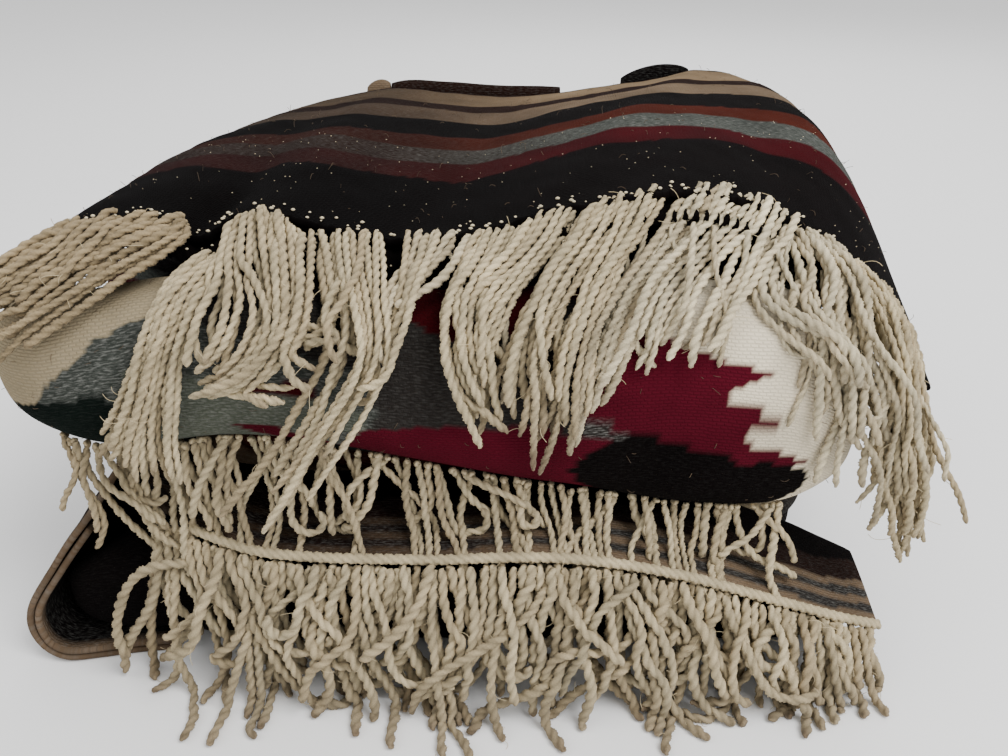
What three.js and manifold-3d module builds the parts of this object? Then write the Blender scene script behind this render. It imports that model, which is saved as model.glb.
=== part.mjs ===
// A folded wool serape: a striped and wedge-patterned blanket shawl with a warp fringe at both ends,
// folded in thirds across and in about six along, lying in a loose stack.
// Millimetres. +X to the right along the folded edges, +Y from the front to the back, +Z up.
import * as THREE from "three";
import { mergeVertices } from "three/addons/utils/BufferGeometryUtils.js";
import Module from "manifold-3d";

const wasm = await Module();
wasm.setup();

// ---- Driving sizes ----
const CLOTH = 3.6; // thickness of the weft-faced wool
const GAP = 0.3; // clearance between pieces that lie on each other
const LOCK = 7; // thickness of a lock of fringe
const CORD = 5.6; // diameter of the twisted heading cord
const TOP_FRONT = 34; // front edge of the top ply
const TOP_BACK = 396; // where the top ply turns down at the back
const BACK_ROUND = 22; // radius of the turn at the back
const BACK_TURN = THREE.MathUtils.degToRad(75); // how far round it goes
const FOLD_ARM = 34; // how far a front fold's plies run back
const FOLD_STEPS = { along: 20, round: 14 }; // facets of a front fold
const LAYER = 24; // height of one folded pair of hidden plies where it shows at the edges
const LAYER_DEPTH = 3; // how far the valley between two layers is set back

// The top ply, from its left edge to its right edge over the mounds of the stack below.
// Each row is a station: places (x) and heights (z) at the front edge, the middle and the back.
const TOP_PLY = [
  { xFront: -217, zFront: 221, xMiddle: -213, zMiddle: 211, xBack: -200, zBack: 186 },
  { xFront: -204, zFront: 232, xMiddle: -199, zMiddle: 223, xBack: -186, zBack: 200 },
  { xFront: -172, zFront: 238, xMiddle: -166, zMiddle: 231, xBack: -152, zBack: 214 },
  { xFront: -141, zFront: 234, xMiddle: -136, zMiddle: 231, xBack: -118, zBack: 221 },
  { xFront: -112, zFront: 239, xMiddle: -104, zMiddle: 236, xBack: -84, zBack: 226 },
  { xFront: -72, zFront: 230, xMiddle: -62, zMiddle: 231, xBack: -46, zBack: 222 },
  { xFront: -22, zFront: 228, xMiddle: -12, zMiddle: 228, xBack: 0, zBack: 219 },
  { xFront: 32, zFront: 241, xMiddle: 40, zMiddle: 240, xBack: 52, zBack: 223 },
  { xFront: 84, zFront: 249, xMiddle: 94, zMiddle: 248, xBack: 104, zBack: 231 },
  { xFront: 126, zFront: 240, xMiddle: 142, zMiddle: 248, xBack: 150, zBack: 237 },
  { xFront: 158, zFront: 219, xMiddle: 186, zMiddle: 241, xBack: 182, zBack: 235 },
  { xFront: 188, zFront: 187, xMiddle: 211, zMiddle: 219, xBack: 203, zBack: 221 },
  { xFront: 215, zFront: 148, xMiddle: 225, zMiddle: 186, xBack: 213, zBack: 198 },
];

// The pattern fold, from its left end round to its right end: the line of its front in plan,
// and the heights of its top and of its lower edge.
const PATTERN_FOLD = [
  { x: -244, y: 34, top: 196, low: 160 },
  { x: -238, y: 6, top: 200, low: 147 },
  { x: -216, y: -9, top: 201, low: 137 },
  { x: -180, y: -13, top: 209, low: 131 },
  { x: -125, y: -12, top: 212, low: 137 },
  { x: -70, y: -12, top: 208, low: 128 },
  { x: -20, y: -13, top: 205, low: 117 },
  { x: 40, y: -14, top: 209, low: 107 },
  { x: 95, y: -14, top: 211, low: 98 },
  { x: 139, y: -12, top: 205, low: 97 },
  { x: 164, y: -2, top: 190, low: 102 },
  { x: 176, y: 18, top: 178, low: 108 },
  { x: 178, y: 40, top: 170, low: 112 },
];
const PATTERN_FOCUS = { left: -196, right: 128, y: 62 }; // its plies run back towards this line

// The bottom fold: the black ply that carries the rest, flat on the surface right of its left end.
const BOTTOM_FOLD = [
  { x: -240, y: 36, top: 42, low: 22 },
  { x: -233, y: 14, top: 50, low: 14 },
  { x: -212, y: 3, top: 62, low: 9 },
  { x: -170, y: 0, top: 70, low: 8.6 },
  { x: -138, y: -1, top: 73, low: 0 },
  { x: -60, y: 0, top: 74, low: 0 },
  { x: 30, y: 0, top: 75, low: 0 },
  { x: 100, y: 1, top: 60, low: 0 },
  { x: 150, y: 5, top: 42, low: 0 },
  { x: 182, y: 18, top: 27, low: 0 },
  { x: 192, y: 40, top: 22, low: 0 },
];
const BOTTOM_FOCUS = { left: -190, right: 142, y: 66 };

// The ply that turns round the bottom fold at the left: its outer face from the top of its climb,
// round its nose, to where it ends under the bottom fold, and how far forward its edge comes.
const LOOP = [
  { x: -196, z: 118, front: 34 },
  { x: -205, z: 100, front: 26 },
  { x: -219, z: 80, front: 16 },
  { x: -238, z: 55, front: 8 },
  { x: -253, z: 31, front: 2 },
  { x: -250, z: 12, front: -2 },
  { x: -236, z: 2, front: -4 },
  { x: -216, z: 0, front: 0 },
  { x: -198, z: 0, front: 4 },
  { x: -180, z: 0, front: 6 },
];
const LOOP_BACK = 384;

// The lower end: heights of its front edge, which the heading cord closes, and how far it comes out.
const LOWER_END = [
  { x: -186, z: 97, front: 12 },
  { x: -150, z: 89, front: -4 },
  { x: -112, z: 83, front: -14 },
  { x: -40, z: 83, front: -18 },
  { x: 30, z: 85, front: -20 },
  { x: 90, z: 74, front: -20 },
  { x: 140, z: 56, front: -18 },
  { x: 174, z: 41, front: -12 },
  { x: 196, z: 29, front: -3 },
];
const LOWER_RUN = 46; // how far back the lower end shows before it goes into the stack
const LOWER_RISE = 7; // how much it rises over that run

// The hidden layers: the outline of the stack at each height.
const CORE = [
  { z: 0, left: -150, right: 180, front: 50, back: 380 },
  { z: 20, left: -184, right: 192, front: 50, back: 388 },
  { z: 60, left: -206, right: 196, front: 50, back: 392 },
  { z: 92, left: -180, right: 196, front: 50, back: 394 },
  { z: 124, left: -178, right: 194, front: 50, back: 394 },
  { z: 142, left: -222, right: 194, front: 50, back: 392 },
  { z: 166, left: -238, right: 196, front: 50, back: 392 },
  { z: 184, left: -214, right: 194, front: 50, back: 390 },
  { z: 204, left: -190, right: 190, front: 50, back: 388 },
  { z: 232, left: -184, right: 178, front: 52, back: 384 },
];
const CORE_LEVELS = 30;
const CORE_CORNER = 4; // how square the outline is in plan: 2 is an ellipse
const UNDER_TOP = 2 * (CLOTH + GAP) + 6; // the hidden layers end this far under the top ply

// The locks of the upper fringe: where each hangs from along the front edge and where its tips reach.
const UPPER_LOCKS = [
  { name: "fringe_top_1", left: -210, right: -154, tipLeft: -246, tipRight: -196, tipZ: 186 },
  { name: "fringe_top_2", left: -150, right: -84, tipLeft: -206, tipRight: -112, tipZ: 139 },
  { name: "fringe_top_3", left: -80, right: 16, tipLeft: -104, tipRight: -30, tipZ: 140 },
  { name: "fringe_top_4", left: 20, right: 124, tipLeft: -14, tipRight: 106, tipZ: 116 },
];
const RIGHT_LOCK = { left: 132, right: 206, tipLeft: 158, tipRight: 208, tipZ: 70 };
const MIDDLE_LOCKS = [
  { name: "fringe_middle_1", left: -222, right: -100, drop: 34 },
  { name: "fringe_middle_2", left: -94, right: 128, drop: 14 },
];
const LOWER_LOCKS = [
  { name: "fringe_lower_1", left: -180, right: -94, reach: -50 },
  { name: "fringe_lower_2", left: -92, right: 8, reach: -60 },
  { name: "fringe_lower_3", left: 10, right: 108, reach: -62 },
  { name: "fringe_lower_4", left: 110, right: 188, reach: -60 },
];

// The bends of dark cloth that stand up behind the top ply.
const BACK_FOLDS = [
  { name: "back_fold_left", left: -92, right: 46, height: 5, thick: 12, color: 0x1c1512 },
  { name: "back_fold_end", left: -112, right: -93, height: 6, thick: 12, color: 0xb9ad94 },
  { name: "back_fold_right", left: 96, right: 150, height: 6, thick: 14, color: 0x181312 },
];

// ---- Curves and solids ----

// A smooth curve through one column of a table, read against its key column.
function through(rows, key, name) {
  const slope = (i) => {
    const before = rows[Math.max(i - 1, 0)];
    const after = rows[Math.min(i + 1, rows.length - 1)];
    return (after[name] - before[name]) / (after[key] - before[key]);
  };
  return (at) => {
    let i = 0;
    while (i < rows.length - 2 && at > rows[i + 1][key]) i += 1;
    const span = rows[i + 1][key] - rows[i][key];
    const t = THREE.MathUtils.clamp((at - rows[i][key]) / span, 0, 1);
    const rise = t * t * (3 - 2 * t);
    const leave = t * (1 - t) * (1 - t) * span * slope(i);
    const arrive = t * t * (t - 1) * span * slope(i + 1);
    return rows[i][name] * (1 - rise) + rows[i + 1][name] * rise + leave + arrive;
  };
}

// The same rows with a key that counts from 0 to 1 along the table.
function counted(rows) {
  return rows.map((row, i) => ({ ...row, along: i / (rows.length - 1) }));
}

// A closed solid from its corners and triangles, turned so that its faces point out.
function closedSolid(corners, triangles) {
  let volume = 0;
  for (const [a, b, c] of triangles) {
    volume += corners[a].dot(new THREE.Vector3().crossVectors(corners[b], corners[c]));
  }
  const facing = volume > 0 ? triangles : triangles.map(([a, b, c]) => [a, c, b]);
  const geometry = new THREE.BufferGeometry().setFromPoints(corners);
  geometry.setIndex(facing.flat());
  geometry.computeVertexNormals();
  return geometry;
}

// The outward normal of a surface of two parameters, by differences.
function normalAt(surface, u, v) {
  const step = 1e-3;
  const alongU = surface(u + step, v).sub(surface(u - step, v));
  const alongV = surface(u, v + step).sub(surface(u, v - step));
  return alongU.cross(alongV).normalize();
}

// The point of a surface moved along its normal.
function moved(surface, u, v, distance) {
  return surface(u, v).addScaledVector(normalAt(surface, u, v), distance);
}

// A cloth wall: a surface, its copy one thickness away on the side the sign gives, and the four rims.
function wall(surface, across, down, thickness, offset = 0) {
  const corners = [];
  for (const depth of [offset, offset + thickness]) {
    for (let j = 0; j <= down; j += 1) {
      for (let i = 0; i <= across; i += 1) {
        corners.push(moved(surface, i / across, j / down, depth));
      }
    }
  }
  const at = (side, i, j) => side * (across + 1) * (down + 1) + j * (across + 1) + i;
  const triangles = [];
  const quad = (a, b, c, d) => triangles.push([a, b, c], [a, c, d]);
  for (let j = 0; j < down; j += 1) {
    for (let i = 0; i < across; i += 1) {
      quad(at(0, i, j), at(0, i + 1, j), at(0, i + 1, j + 1), at(0, i, j + 1));
      quad(at(1, i, j), at(1, i, j + 1), at(1, i + 1, j + 1), at(1, i + 1, j));
    }
  }
  for (let i = 0; i < across; i += 1) {
    quad(at(0, i, 0), at(1, i, 0), at(1, i + 1, 0), at(0, i + 1, 0));
    quad(at(0, i, down), at(0, i + 1, down), at(1, i + 1, down), at(1, i, down));
  }
  for (let j = 0; j < down; j += 1) {
    quad(at(0, 0, j), at(0, 0, j + 1), at(1, 0, j + 1), at(1, 0, j));
    quad(at(0, across, j), at(1, across, j), at(1, across, j + 1), at(0, across, j + 1));
  }
  return closedSolid(corners, triangles);
}

// A solid through closed rings of equal count, each end closed to the ring's middle.
function loft(rings) {
  const count = rings[0].length;
  const corners = rings.flat();
  const triangles = [];
  for (let k = 0; k < rings.length - 1; k += 1) {
    for (let i = 0; i < count; i += 1) {
      const next = (i + 1) % count;
      const [a, b] = [k * count + i, k * count + next];
      triangles.push([a, b, b + count], [a, b + count, a + count]);
    }
  }
  for (const k of [0, rings.length - 1]) {
    const middle = new THREE.Vector3();
    for (const corner of rings[k]) middle.addScaledVector(corner, 1 / count);
    corners.push(middle);
    const centre = corners.length - 1;
    for (let i = 0; i < count; i += 1) {
      const [a, b] = [k * count + i, k * count + ((i + 1) % count)];
      triangles.push(k === 0 ? [b, a, centre] : [a, b, centre]);
    }
  }
  return closedSolid(corners, triangles);
}

// A geometry as a solid that can be joined, and back.
function solidOf(geometry) {
  const bare = geometry.clone();
  bare.deleteAttribute("normal");
  const merged = mergeVertices(bare, 1e-4);
  const vertProperties = new Float32Array(merged.attributes.position.array);
  const triVerts = new Uint32Array(merged.index.array);
  return new wasm.Manifold(new wasm.Mesh({ numProp: 3, vertProperties, triVerts }));
}

function geometryOf(solid) {
  const mesh = solid.getMesh();
  const geometry = new THREE.BufferGeometry();
  geometry.setAttribute("position", new THREE.BufferAttribute(mesh.vertProperties, 3));
  geometry.setIndex(new THREE.BufferAttribute(mesh.triVerts, 1));
  geometry.computeVertexNormals();
  return geometry;
}

// ---- The plies ----

const topRows = counted(TOP_PLY);
const topColumns = {};
for (const name of Object.keys(TOP_PLY[0])) topColumns[name] = through(topRows, "along", name);

// The outer face of the top ply: across from left to right, down its length from front to back,
// where it turns down with a round edge.
function topFace(across, back) {
  const flat = Math.min(back, 1);
  const weights = [2 * (flat - 0.5) * (flat - 1), 4 * flat * (1 - flat), 2 * flat * (flat - 0.5)];
  const sum = (a, b, c) => weights[0] * a(across) + weights[1] * b(across) + weights[2] * c(across);
  const x = sum(topColumns.xFront, topColumns.xMiddle, topColumns.xBack);
  const z = sum(topColumns.zFront, topColumns.zMiddle, topColumns.zBack);
  const turn = Math.max(back - 1, 0) * ((TOP_BACK - TOP_FRONT) / BACK_ROUND);
  const y = TOP_FRONT + flat * (TOP_BACK - TOP_FRONT) + BACK_ROUND * Math.sin(turn);
  return new THREE.Vector3(x, y, z - BACK_ROUND * (1 - Math.cos(turn)));
}
const TOP_LENGTH = 1 + (BACK_TURN * BACK_ROUND) / (TOP_BACK - TOP_FRONT);

function topPly() {
  return wall((u, v) => topFace(u, v * TOP_LENGTH), 24, 10, -CLOTH);
}

// The second ply shows only at its front edge, a little in front of the first, and lower.
function secondPly() {
  const out = 0.03;
  const run = 0.2;
  const droop = 5;
  const face = (u, v) => {
    const point = topFace(0.015 + u * 0.95, v * run - out);
    const edge = Math.max(1 - v * 3, 0);
    return point.setZ(point.z - droop * edge * edge);
  };
  return wall(face, 24, 4, -CLOTH, -(CLOTH + 4 * GAP));
}

// The height of the top ply's outer face over a place in plan, by search along its width.
function topHeight(x, y) {
  const back = (y - TOP_FRONT) / (TOP_BACK - TOP_FRONT);
  let [low, high] = [0, 1];
  for (let k = 0; k < 24; k += 1) {
    const middle = (low + high) / 2;
    if (topFace(middle, back).x < x) low = middle;
    else high = middle;
  }
  return topFace(low, back).z;
}

// A front fold: at each station the ply runs forward at its top height, turns down over a rounded
// face, and runs back at its lower height, in the upright plane towards the focus line.
function foldFace(rows, focus) {
  const table = counted(rows);
  const [x, y, top, bottom] = ["x", "y", "top", "low"].map((name) => through(table, "along", name));
  const low = (along) => Math.max(bottom(along), 0);
  return (along, turn) => {
    const point = new THREE.Vector3(x(along), y(along), 0);
    const aim = new THREE.Vector3(THREE.MathUtils.clamp(point.x, focus.left, focus.right), focus.y, 0);
    const inward = aim.sub(point).normalize();
    const half = (top(along) - low(along)) / 2;
    const round = Math.min(half, 26);
    const angle = THREE.MathUtils.clamp((turn - 0.2) / 0.6, 0, 1) * Math.PI;
    const arm = Math.max(0.2 - turn, turn - 0.8, 0) * 5 * (FOLD_ARM - round);
    const square = Math.sign(Math.cos(angle)) * Math.abs(Math.cos(angle)) ** 0.7;
    const inset = round * (1 - Math.sin(angle) ** 0.8) + arm;
    return point.addScaledVector(inward, inset).setZ(low(along) + half * (1 + square));
  };
}

// A point of a fold's ply carried on almost to the focus line, at its own height.
function towardsFocus(point, focus) {
  const aim = new THREE.Vector3(THREE.MathUtils.clamp(point.x, focus.left, focus.right), focus.y, point.z);
  return point.clone().lerp(aim, 0.9);
}

function frontFold(rows, focus) {
  return wall(foldFace(rows, focus), FOLD_STEPS.along, FOLD_STEPS.round, CLOTH);
}

// What a front fold wraps: its own inner face, closed at the back.
function foldFilling(rows, focus) {
  const face = foldFace(rows, focus);
  const rings = [];
  for (let i = 0; i <= FOLD_STEPS.along; i += 1) {
    const ring = [];
    for (let j = 0; j <= FOLD_STEPS.round; j += 1) {
      ring.push(moved(face, i / FOLD_STEPS.along, j / FOLD_STEPS.round, CLOTH + 4 * GAP));
    }
    for (const end of [ring[FOLD_STEPS.round], ring[0]]) ring.push(towardsFocus(end, focus));
    rings.push(ring);
  }
  return loft(rings);
}

// The loop at the left: the outer ply, or the ply inside it when it is moved in by one layer.
function loopPly(from, inside) {
  const table = counted(LOOP);
  const [x, z, front] = ["x", "z", "front"].map((name) => through(table, "along", name));
  const face = (u, v) => {
    const along = from + (1 - from) * u;
    const y = front(along) + v * (LOOP_BACK - front(along));
    return new THREE.Vector3(x(along), y, Math.max(z(along), 0));
  };
  return wall(face, 20, 2, CLOTH, inside);
}

const lowerZ = through(LOWER_END, "x", "z");
const lowerFront = through(LOWER_END, "x", "front");
const LOWER_LEFT = LOWER_END[0].x;
const LOWER_RIGHT = LOWER_END[LOWER_END.length - 1].x;

// The lower end, or the ply under it when it is one layer down and set back.
function lowerPly(under, setBack) {
  const face = (u, v) => {
    const x = LOWER_LEFT + (LOWER_RIGHT - LOWER_LEFT) * u;
    const start = lowerFront(x) + setBack;
    const y = start + v * (LOWER_RUN - start);
    return new THREE.Vector3(x, y, lowerZ(x) + LOWER_RISE * v);
  };
  return wall(face, 20, 2, -CLOTH, -under);
}

// The heading cord along the lower end's front edge, as a round tube.
function headingCord() {
  const points = [];
  for (let i = 0; i <= 24; i += 1) {
    const x = THREE.MathUtils.lerp(LOWER_LEFT + 30, LOWER_RIGHT, i / 24);
    const y = lowerFront(x) - CORD / 2 - GAP;
    points.push(new THREE.Vector3(x, y, lowerZ(x) - CLOTH / 2));
  }
  const section = new THREE.Shape().absarc(0, 0, CORD / 2, 0, 2 * Math.PI);
  const path = new THREE.CatmullRomCurve3(points);
  const options = { steps: 28, curveSegments: 5, extrudePath: path, bevelEnabled: false };
  return new THREE.ExtrudeGeometry(section, options);
}

// ---- The hidden layers ----

const coreColumns = {};
for (const name of ["left", "right", "front", "back"]) coreColumns[name] = through(CORE, "z", name);
const CORE_TOP = CORE[CORE.length - 1].z;

// A place on the outline of the hidden layers at one height, by angle round it.
function corePlace(angle, z, inset) {
  const [left, right] = [coreColumns.left(z) + inset, coreColumns.right(z) - inset];
  const [front, back] = [coreColumns.front(z) + inset, coreColumns.back(z) - inset];
  const power = 2 / CORE_CORNER;
  const [c, s] = [Math.cos(angle), Math.sin(angle)];
  const x = (left + right) / 2 + ((right - left) / 2) * Math.sign(c) * Math.abs(c) ** power;
  const y = (front + back) / 2 + ((back - front) / 2) * Math.sign(s) * Math.abs(s) ** power;
  return new THREE.Vector3(x, y, z);
}

// The stack of hidden layers: rounded bulges one above another, closed by the shape of the top ply.
function coreStack() {
  const count = 40;
  const rings = [];
  const ceiling = (point) => topHeight(point.x, point.y) - UNDER_TOP;
  const ring = (place) => {
    const points = [];
    for (let i = 0; i < count; i += 1) points.push(place((i / count) * 2 * Math.PI));
    rings.push(points);
  };
  for (let k = 0; k <= CORE_LEVELS; k += 1) {
    const level = k / CORE_LEVELS;
    ring((angle) => {
      const inset = LAYER_DEPTH * Math.abs(Math.cos((Math.PI * level * CORE_TOP) / LAYER));
      const rough = corePlace(angle, level * CORE_TOP, inset);
      const height = level * Math.min(ceiling(rough), CORE_TOP);
      return corePlace(angle, height, inset);
    });
  }
  for (const shrink of [10, 36, 80, 128]) {
    ring((angle) => {
      const point = corePlace(angle, CORE_TOP, shrink);
      return point.setZ(Math.min(ceiling(point), CORE_TOP));
    });
  }
  return loft(rings);
}

function hiddenLayers() {
  const stack = solidOf(coreStack());
  const upper = solidOf(foldFilling(PATTERN_FOLD, PATTERN_FOCUS));
  const lower = solidOf(foldFilling(BOTTOM_FOLD, BOTTOM_FOCUS));
  return geometryOf(stack.add(upper).add(lower));
}

// ---- The fringes, as plain solids of their reach ----

// A lock that hangs from the front edge of the top ply over the shoulder of the pattern fold.
function upperLock(lock) {
  const shoulder = 192;
  const frontFace = -16;
  const rootFront = 22;
  const face = (u, v) => {
    const x = THREE.MathUtils.lerp(lock.left, lock.right, u);
    const root = topHeight(x, TOP_FRONT) - 10;
    const z = THREE.MathUtils.lerp(root, lock.tipZ, v);
    const over = THREE.MathUtils.clamp((z - shoulder) / (root - shoulder), 0, 1);
    const tip = THREE.MathUtils.lerp(lock.tipLeft, lock.tipRight, u);
    const y = frontFace + (rootFront - frontFace) * over * over;
    return new THREE.Vector3(THREE.MathUtils.lerp(x, tip, v), y, z);
  };
  return wall(face, 6, 6, -LOCK);
}

// The lock that falls down the right side, from the draped part of the front edge.
function rightLock(lock) {
  const face = (u, v) => {
    const x = THREE.MathUtils.lerp(lock.left, lock.right, u);
    const z = THREE.MathUtils.lerp(topHeight(x, TOP_FRONT) - 12, lock.tipZ, v);
    const tip = THREE.MathUtils.lerp(lock.tipLeft, lock.tipRight, u);
    const y = 20 - (20 - frontOfRight(u)) * Math.min(v * 5, 1);
    return new THREE.Vector3(THREE.MathUtils.lerp(x, tip, v), y, z);
  };
  return wall(face, 6, 8, -LOCK);
}

// The right lock stands in front of the pattern fold's round end and turns back with it.
function frontOfRight(u) {
  return THREE.MathUtils.lerp(-22, 6, u * u);
}

// A short lock that hangs from under the pattern fold's lower edge.
function middleLock(lock) {
  const low = through(PATTERN_FOLD, "x", "low");
  const face = (u, v) => {
    const x = THREE.MathUtils.lerp(lock.left, lock.right, u);
    return new THREE.Vector3(x, -14 - 8 * v, low(x) - 4 - lock.drop * v);
  };
  return wall(face, 6, 2, -LOCK * 0.6);
}

// A lock that hangs from the heading cord and spreads forward to the surface.
function lowerLock(lock) {
  const face = (u, v) => {
    const x = THREE.MathUtils.lerp(lock.left, lock.right, u);
    const root = lowerFront(x) - CORD - 2;
    const y = THREE.MathUtils.lerp(root, lock.reach, v * v);
    return new THREE.Vector3(x, y, THREE.MathUtils.lerp(lowerZ(x) - 8, 1, v));
  };
  return wall(face, 6, 4, -LOCK);
}

// ---- The bends behind the top ply ----

// A low rounded bend of cloth that follows the top ply's back and stands proud of it.
function backFold(bend) {
  const rings = [];
  const steps = 6;
  for (let i = 0; i <= steps; i += 1) {
    const x = THREE.MathUtils.lerp(bend.left, bend.right, i / steps);
    const swell = 0.4 + 0.6 * Math.sin((Math.PI * (i + 1)) / (steps + 2));
    const base = topHeight(x, TOP_BACK) - 26;
    const y = TOP_BACK + BACK_ROUND + 1;
    const height = 26 + bend.height * swell;
    const ring = [];
    for (let k = 0; k <= 6; k += 1) {
      const angle = (k / 6) * Math.PI;
      const side = (bend.thick / 2) * (1 - Math.cos(angle));
      ring.push(new THREE.Vector3(x, y + side, base + height * (0.6 + 0.4 * Math.sin(angle))));
    }
    ring.push(new THREE.Vector3(x, y + bend.thick, base));
    ring.push(new THREE.Vector3(x, y, base));
    rings.push(ring);
  }
  return loft(rings);
}

// ---- The serape ----

const serape = new THREE.Group();

function add(name, geometry, color) {
  const material = new THREE.MeshStandardMaterial({ color, roughness: 0.95, metalness: 0 });
  const mesh = new THREE.Mesh(geometry, material);
  mesh.name = name;
  serape.add(mesh);
}

const BLACK = 0x14100f;
const CREAM = 0xc9bba0;
add("top_ply", topPly(), 0x4a1a1c);
add("second_ply", secondPly(), BLACK);
add("pattern_fold", frontFold(PATTERN_FOLD, PATTERN_FOCUS), 0x5e1828);
add("lower_end_ply", lowerPly(0, 0), 0x6a665c);
add("lower_under_ply", lowerPly(CLOTH + GAP, 5), 0x4a4038);
add("heading_cord", headingCord(), CREAM);
add("bottom_fold", frontFold(BOTTOM_FOLD, BOTTOM_FOCUS), BLACK);
add("loop_outer", loopPly(0, 0), 0x6a5a48);
add("loop_inner", loopPly(0.24, CLOTH + 2 * GAP), 0xa89c88);
add("folded_core", hiddenLayers(), 0x3a3230);
for (const bend of BACK_FOLDS) add(bend.name, backFold(bend), bend.color);
for (const lock of UPPER_LOCKS) add(lock.name, upperLock(lock), CREAM);
add("fringe_top_5", rightLock(RIGHT_LOCK), 0xd8d0be);
for (const lock of MIDDLE_LOCKS) add(lock.name, middleLock(lock), CREAM);
for (const lock of LOWER_LOCKS) add(lock.name, lowerLock(lock), CREAM);

// The origin is under the middle of the whole stack, on the surface that it rests on.
const box = new THREE.Box3().setFromObject(serape);
serape.position.set(-(box.min.x + box.max.x) / 2, -(box.min.y + box.max.y) / 2, -box.min.z);

export default serape;
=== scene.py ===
"""Dresses the folded wool serape: its woven plies, its pattern, and its twisted warp fringes.

Inside this file lengths are millimetres in the stack's own frame: x from the middle of the folded
width to the right, y from the front edge of the bottom fold to the back, z up from the surface.
`Frame.place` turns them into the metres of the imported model.
"""

import logging
from dataclasses import dataclass, field
from enum import Enum
from itertools import product
from typing import Callable, Sequence

import bpy
import numpy as np
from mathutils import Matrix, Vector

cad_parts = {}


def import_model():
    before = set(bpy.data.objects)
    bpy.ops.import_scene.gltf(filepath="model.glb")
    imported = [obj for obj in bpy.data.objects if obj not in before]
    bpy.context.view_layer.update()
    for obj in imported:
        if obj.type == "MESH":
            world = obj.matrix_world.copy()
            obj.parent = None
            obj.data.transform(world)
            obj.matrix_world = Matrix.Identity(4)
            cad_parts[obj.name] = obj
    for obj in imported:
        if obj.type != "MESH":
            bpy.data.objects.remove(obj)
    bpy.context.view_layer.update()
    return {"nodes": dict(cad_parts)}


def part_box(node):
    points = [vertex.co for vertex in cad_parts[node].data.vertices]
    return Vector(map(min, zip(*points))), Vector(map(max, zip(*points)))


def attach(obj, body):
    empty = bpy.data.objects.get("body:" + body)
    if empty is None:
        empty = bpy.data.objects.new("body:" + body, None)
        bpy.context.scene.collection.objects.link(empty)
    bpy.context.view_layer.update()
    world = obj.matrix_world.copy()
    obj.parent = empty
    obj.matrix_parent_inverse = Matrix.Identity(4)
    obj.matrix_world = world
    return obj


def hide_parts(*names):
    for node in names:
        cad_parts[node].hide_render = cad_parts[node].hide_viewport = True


LOG = logging.getLogger("serape")
MM = 0.001
CLOTH = 3.6  # thickness of the weft-faced wool
GAP = 0.3

Array = np.ndarray
Curve = Callable[[Array], Array]
Surface = Callable[[Array, Array], Array]


class Wool(Enum):
    """The dyed and undyed wools, as sRGB hex."""

    BLACK = "#080505"
    GREEN_BLACK = "#0a110e"
    MAROON = "#35080d"
    BURGUNDY = "#450c19"
    RUST = "#3e160c"
    CHARCOAL = "#252220"
    GREY = "#343733"
    GREY_GREEN = "#4c5046"
    TAUPE = "#615140"
    TAN = "#725f48"
    BROWN = "#1e110d"
    LEFT_BROWN = "#2a140d"
    CREAM = "#d2c6ae"
    # cream darkened as painted shade, for cream that lies in shade on the stack's left
    CREAM_PAINTED_SHADE = "#8f8269"
    SELVAGE = "#5c4c3c"
    YARN = "#d6c5a0"
    YARN_WHITE = "#e3d5b4"
    YARN_COOL = "#cbbb98"
    YARN_TAN = "#a99675"
    GRIME = "#6c5a49"


def linear(hex_value: str) -> tuple[float, float, float]:
    """Turns an sRGB hex value to linear light.

    Args:
        hex_value: a value such as "#a0b1c2".
    Returns:
        The three linear channels.
    """
    channels = [int(hex_value[i:i + 2], 16) / 255 for i in (1, 3, 5)]
    return tuple(c / 12.92 if c <= 0.04045 else ((c + 0.055) / 1.055) ** 2.4 for c in channels)


def through(rows: Sequence[dict], key: str, name: str) -> Curve:
    """A smooth curve through one column of a table, read against its key column.

    Between two rows it is the cubic that has each row's value and the slope between its neighbours.

    Args:
        rows: the table.
        key: the column that the curve is read against.
        name: the column that it gives.
    Returns:
        A function of an array of keys.
    """
    keys = np.array([row[key] for row in rows], float)
    values = np.array([row[name] for row in rows], float)
    before = np.maximum(np.arange(len(keys)) - 1, 0)
    after = np.minimum(np.arange(len(keys)) + 1, len(keys) - 1)
    slopes = (values[after] - values[before]) / (keys[after] - keys[before])

    def at(place: Array) -> Array:
        """The column's value at each key.

        Args:
            place: the keys.
        Returns:
            The values.
        """
        place = np.asarray(place, float)
        i = np.clip(np.searchsorted(keys, place, side="right") - 1, 0, len(keys) - 2)
        span = keys[i + 1] - keys[i]
        f = np.clip((place - keys[i]) / span, 0, 1)
        rise = f * f * (3 - 2 * f)
        ends = values[i] * (1 - rise) + values[i + 1] * rise
        return ends + f * (1 - f) ** 2 * span * slopes[i] + f * f * (f - 1) * span * slopes[i + 1]

    return at


def counted(rows: Sequence[dict]) -> list[dict]:
    """The same rows with a key that counts from 0 to 1 along the table."""
    return [{**row, "along": i / (len(rows) - 1)} for i, row in enumerate(rows)]


def table(names: str, *rows: tuple) -> tuple[dict, ...]:
    """Rows with named columns, from the names in one string and each row's values."""
    return tuple(dict(zip(names.split(), row)) for row in rows)


def unit(vectors: Array) -> Array:
    """Each vector at length one."""
    return vectors / np.maximum(np.linalg.norm(vectors, axis=-1, keepdims=True), 1e-9)


def waves(x: Array, y: Array, seed: int, size: float, count: int = 7) -> Array:
    """A soft uneven height: a sum of sine waves in seeded directions, lengths about `size`.

    Args:
        x, y: the places.
        seed: for the directions.
        size: the waves' usual length.
        count: how many waves.
    Returns:
        The height, from about -1 to 1.
    """
    rng = np.random.default_rng(seed)
    total = np.zeros(np.broadcast(x, y).shape)
    for _ in range(count):
        angle, phase = rng.uniform(0, np.pi), rng.uniform(0, 2 * np.pi)
        length = size * rng.uniform(0.6, 1.6)
        total += np.sin(2 * np.pi * (x * np.cos(angle) + y * np.sin(angle)) / length + phase)
    return total / count


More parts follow.
